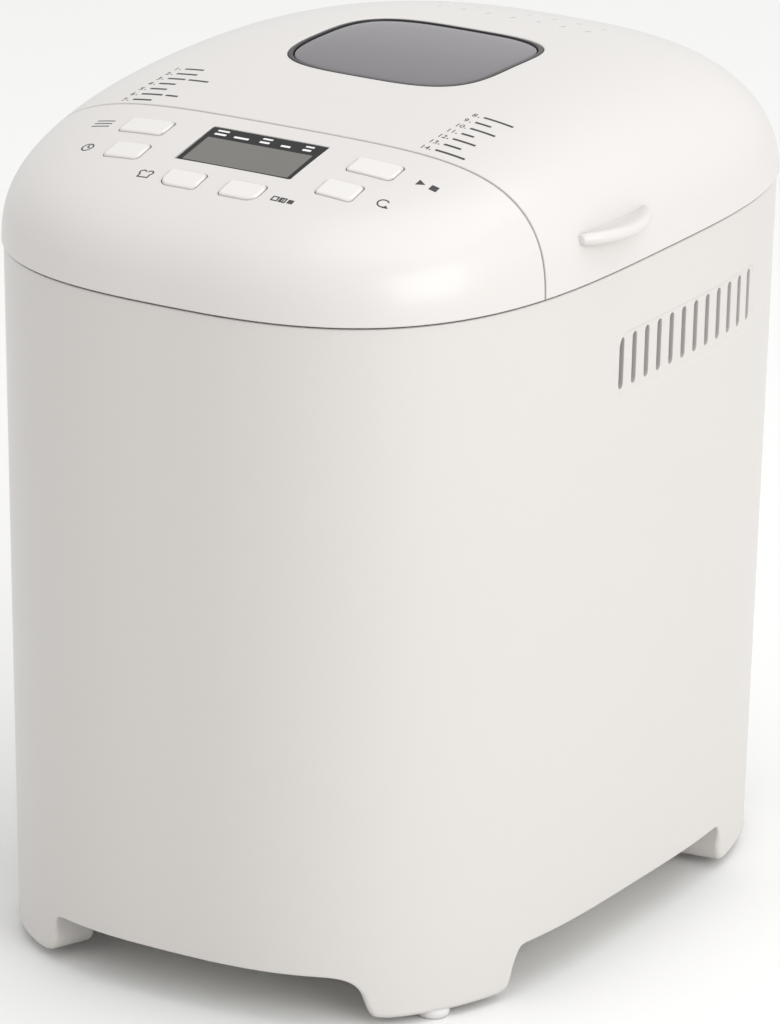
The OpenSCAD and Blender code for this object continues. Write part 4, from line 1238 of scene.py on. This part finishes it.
def make_housing():
    """The tapered wall on four legs, with a row of slots on each side."""
    slots = slot_loops("left") + slot_loops("right")
    x, z, w = GLAND
    square = rounded_rect(w + 2 * SLOT_EDGE, w + 2 * SLOT_EDGE, [SLOT_EDGE] * 4, 3) + [x, z]
    gland = on_side("rear_left", even_loop(square, 1.2 * MM))
    guides = recess_guides("left") + recess_guides("right")
    filling = hex_points((0.0, 0.004), (LENGTH, SEAM_Z), 4.0 * MM, 5.5 * MM)
    flat, triangles = triangulate(housing_border(), [*slots, gland], guides, filling, 0.9 * MM)
    hole_points = np.vstack([*slots, gland])

    def depth(flat, points):
        share = np.clip((flat[:, 1] - 20.4 * MM) / (1.2 * MM), 0, 1)
        return LEG_DEPTH + (WALL - LEG_DEPTH) * share

    def rounding(flat, points):
        r = np.where(flat[:, 1] < 30 * MM, foot_edge(flat[:, 1]), WALL_EDGE)
        r[distance_to(flat, hole_points) < 0.01 * MM] = SLOT_EDGE
        return r

    # The wall takes the shell plastic, which is darkened as painted shade.
    wall = sheet_solid("housing_wall", wall_surface, wall_normals, flat, triangles, depth, rounding, SHELL_PLASTIC_WITH_PAINTED_SHADE)
    place_piece(wall, "housing", "body_shell")


# ---- feet ----
PAD_PLACES = [(-88, -122), (93, -118), (-88, 118), (93, 112)]
# A pad's section from its middle at the ground to its middle at the top: radius and height, in mm.
PAD_SECTION = [(0, 0.0), (4.6, 0.0), (5.6, 0.25), (6.2, 0.9), (6.5, 1.8), (6.5, 4.0), (0, 4.0)]


def make_feet():
    """Round rubber pads with a softened lower edge."""
    low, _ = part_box("rubber_feet")
    count = 40
    angles = [2 * math.pi * i / count for i in range(count)]
    for k, (x, y) in enumerate(PAD_PLACES):
        verts = []
        for r, z in PAD_SECTION:
            height = low.z + z * MM
            verts += [((x + r * math.cos(a)) * MM, (y + r * math.sin(a)) * MM, height) for a in angles]
        faces = [face[::-1] for face in band_faces(count, len(PAD_SECTION) - 1)]
        pad = new_object("foot_pad_%d" % k, verts, faces, PAD)
        place_piece(pad, "housing", "rubber_feet" if k == 0 else None)


# ---- studio ----
# Each lamp: place, width of its square, power in watts.
LAMPS = {
    "key": ((2.2, -0.7, 1.0), 1.6, 26),
    "top": ((0.5, 0.2, 2.2), 2.0, 15),
}


def make_studio():
    """A pale floor, an even white surround and two large soft lamps."""
    scene = bpy.context.scene
    scene.view_settings.view_transform = "Standard"
    floor_material = surface_material("floor", (0.80, 0.80, 0.79), 0.75, vary=0.004, grain=60, bump=0.01)
    verts = [(-6, -5, 0), (6, -5, 0), (6, 9, 0), (-6, 9, 0)]
    floor = new_object("floor", verts, [(0, 1, 2, 3)], floor_material, smooth=False)
    world = bpy.data.worlds.new("studio")
    world.use_nodes = True
    surround = world.node_tree.nodes["Background"]
    surround.inputs["Color"].default_value = (1, 1, 1, 1)
    surround.inputs["Strength"].default_value = 0.94
    scene.world = world
    for name, (place, size, power) in LAMPS.items():
        data = bpy.data.lights.new(name, "AREA")
        data.size = size
        data.energy = power
        lamp = bpy.data.objects.new(name, data)
        lamp.location = place
        aim = Vector((0, 0, 0.2)) - Vector(place)
        lamp.rotation_euler = aim.to_track_quat("-Z", "Y").to_euler()
        scene.collection.objects.link(lamp)


make_camera()
dress_nodes()
make_lid()
joint_wall("lid_front_wall", SPLIT_Y + 0.5 * MM, SPLIT_Y + 2.9 * MM, "lid")
joint_wall("cover_rear_wall", SPLIT_Y - 2.9 * MM, SPLIT_Y - 0.5 * MM, "housing")
make_grip("grip_left", -1)
make_grip("grip_right", 1)
make_cover()
for key in BUTTONS:
    make_button(key)
make_window_frame()
make_pane()
make_display()
make_marks()
make_housing()
make_feet()
make_studio()
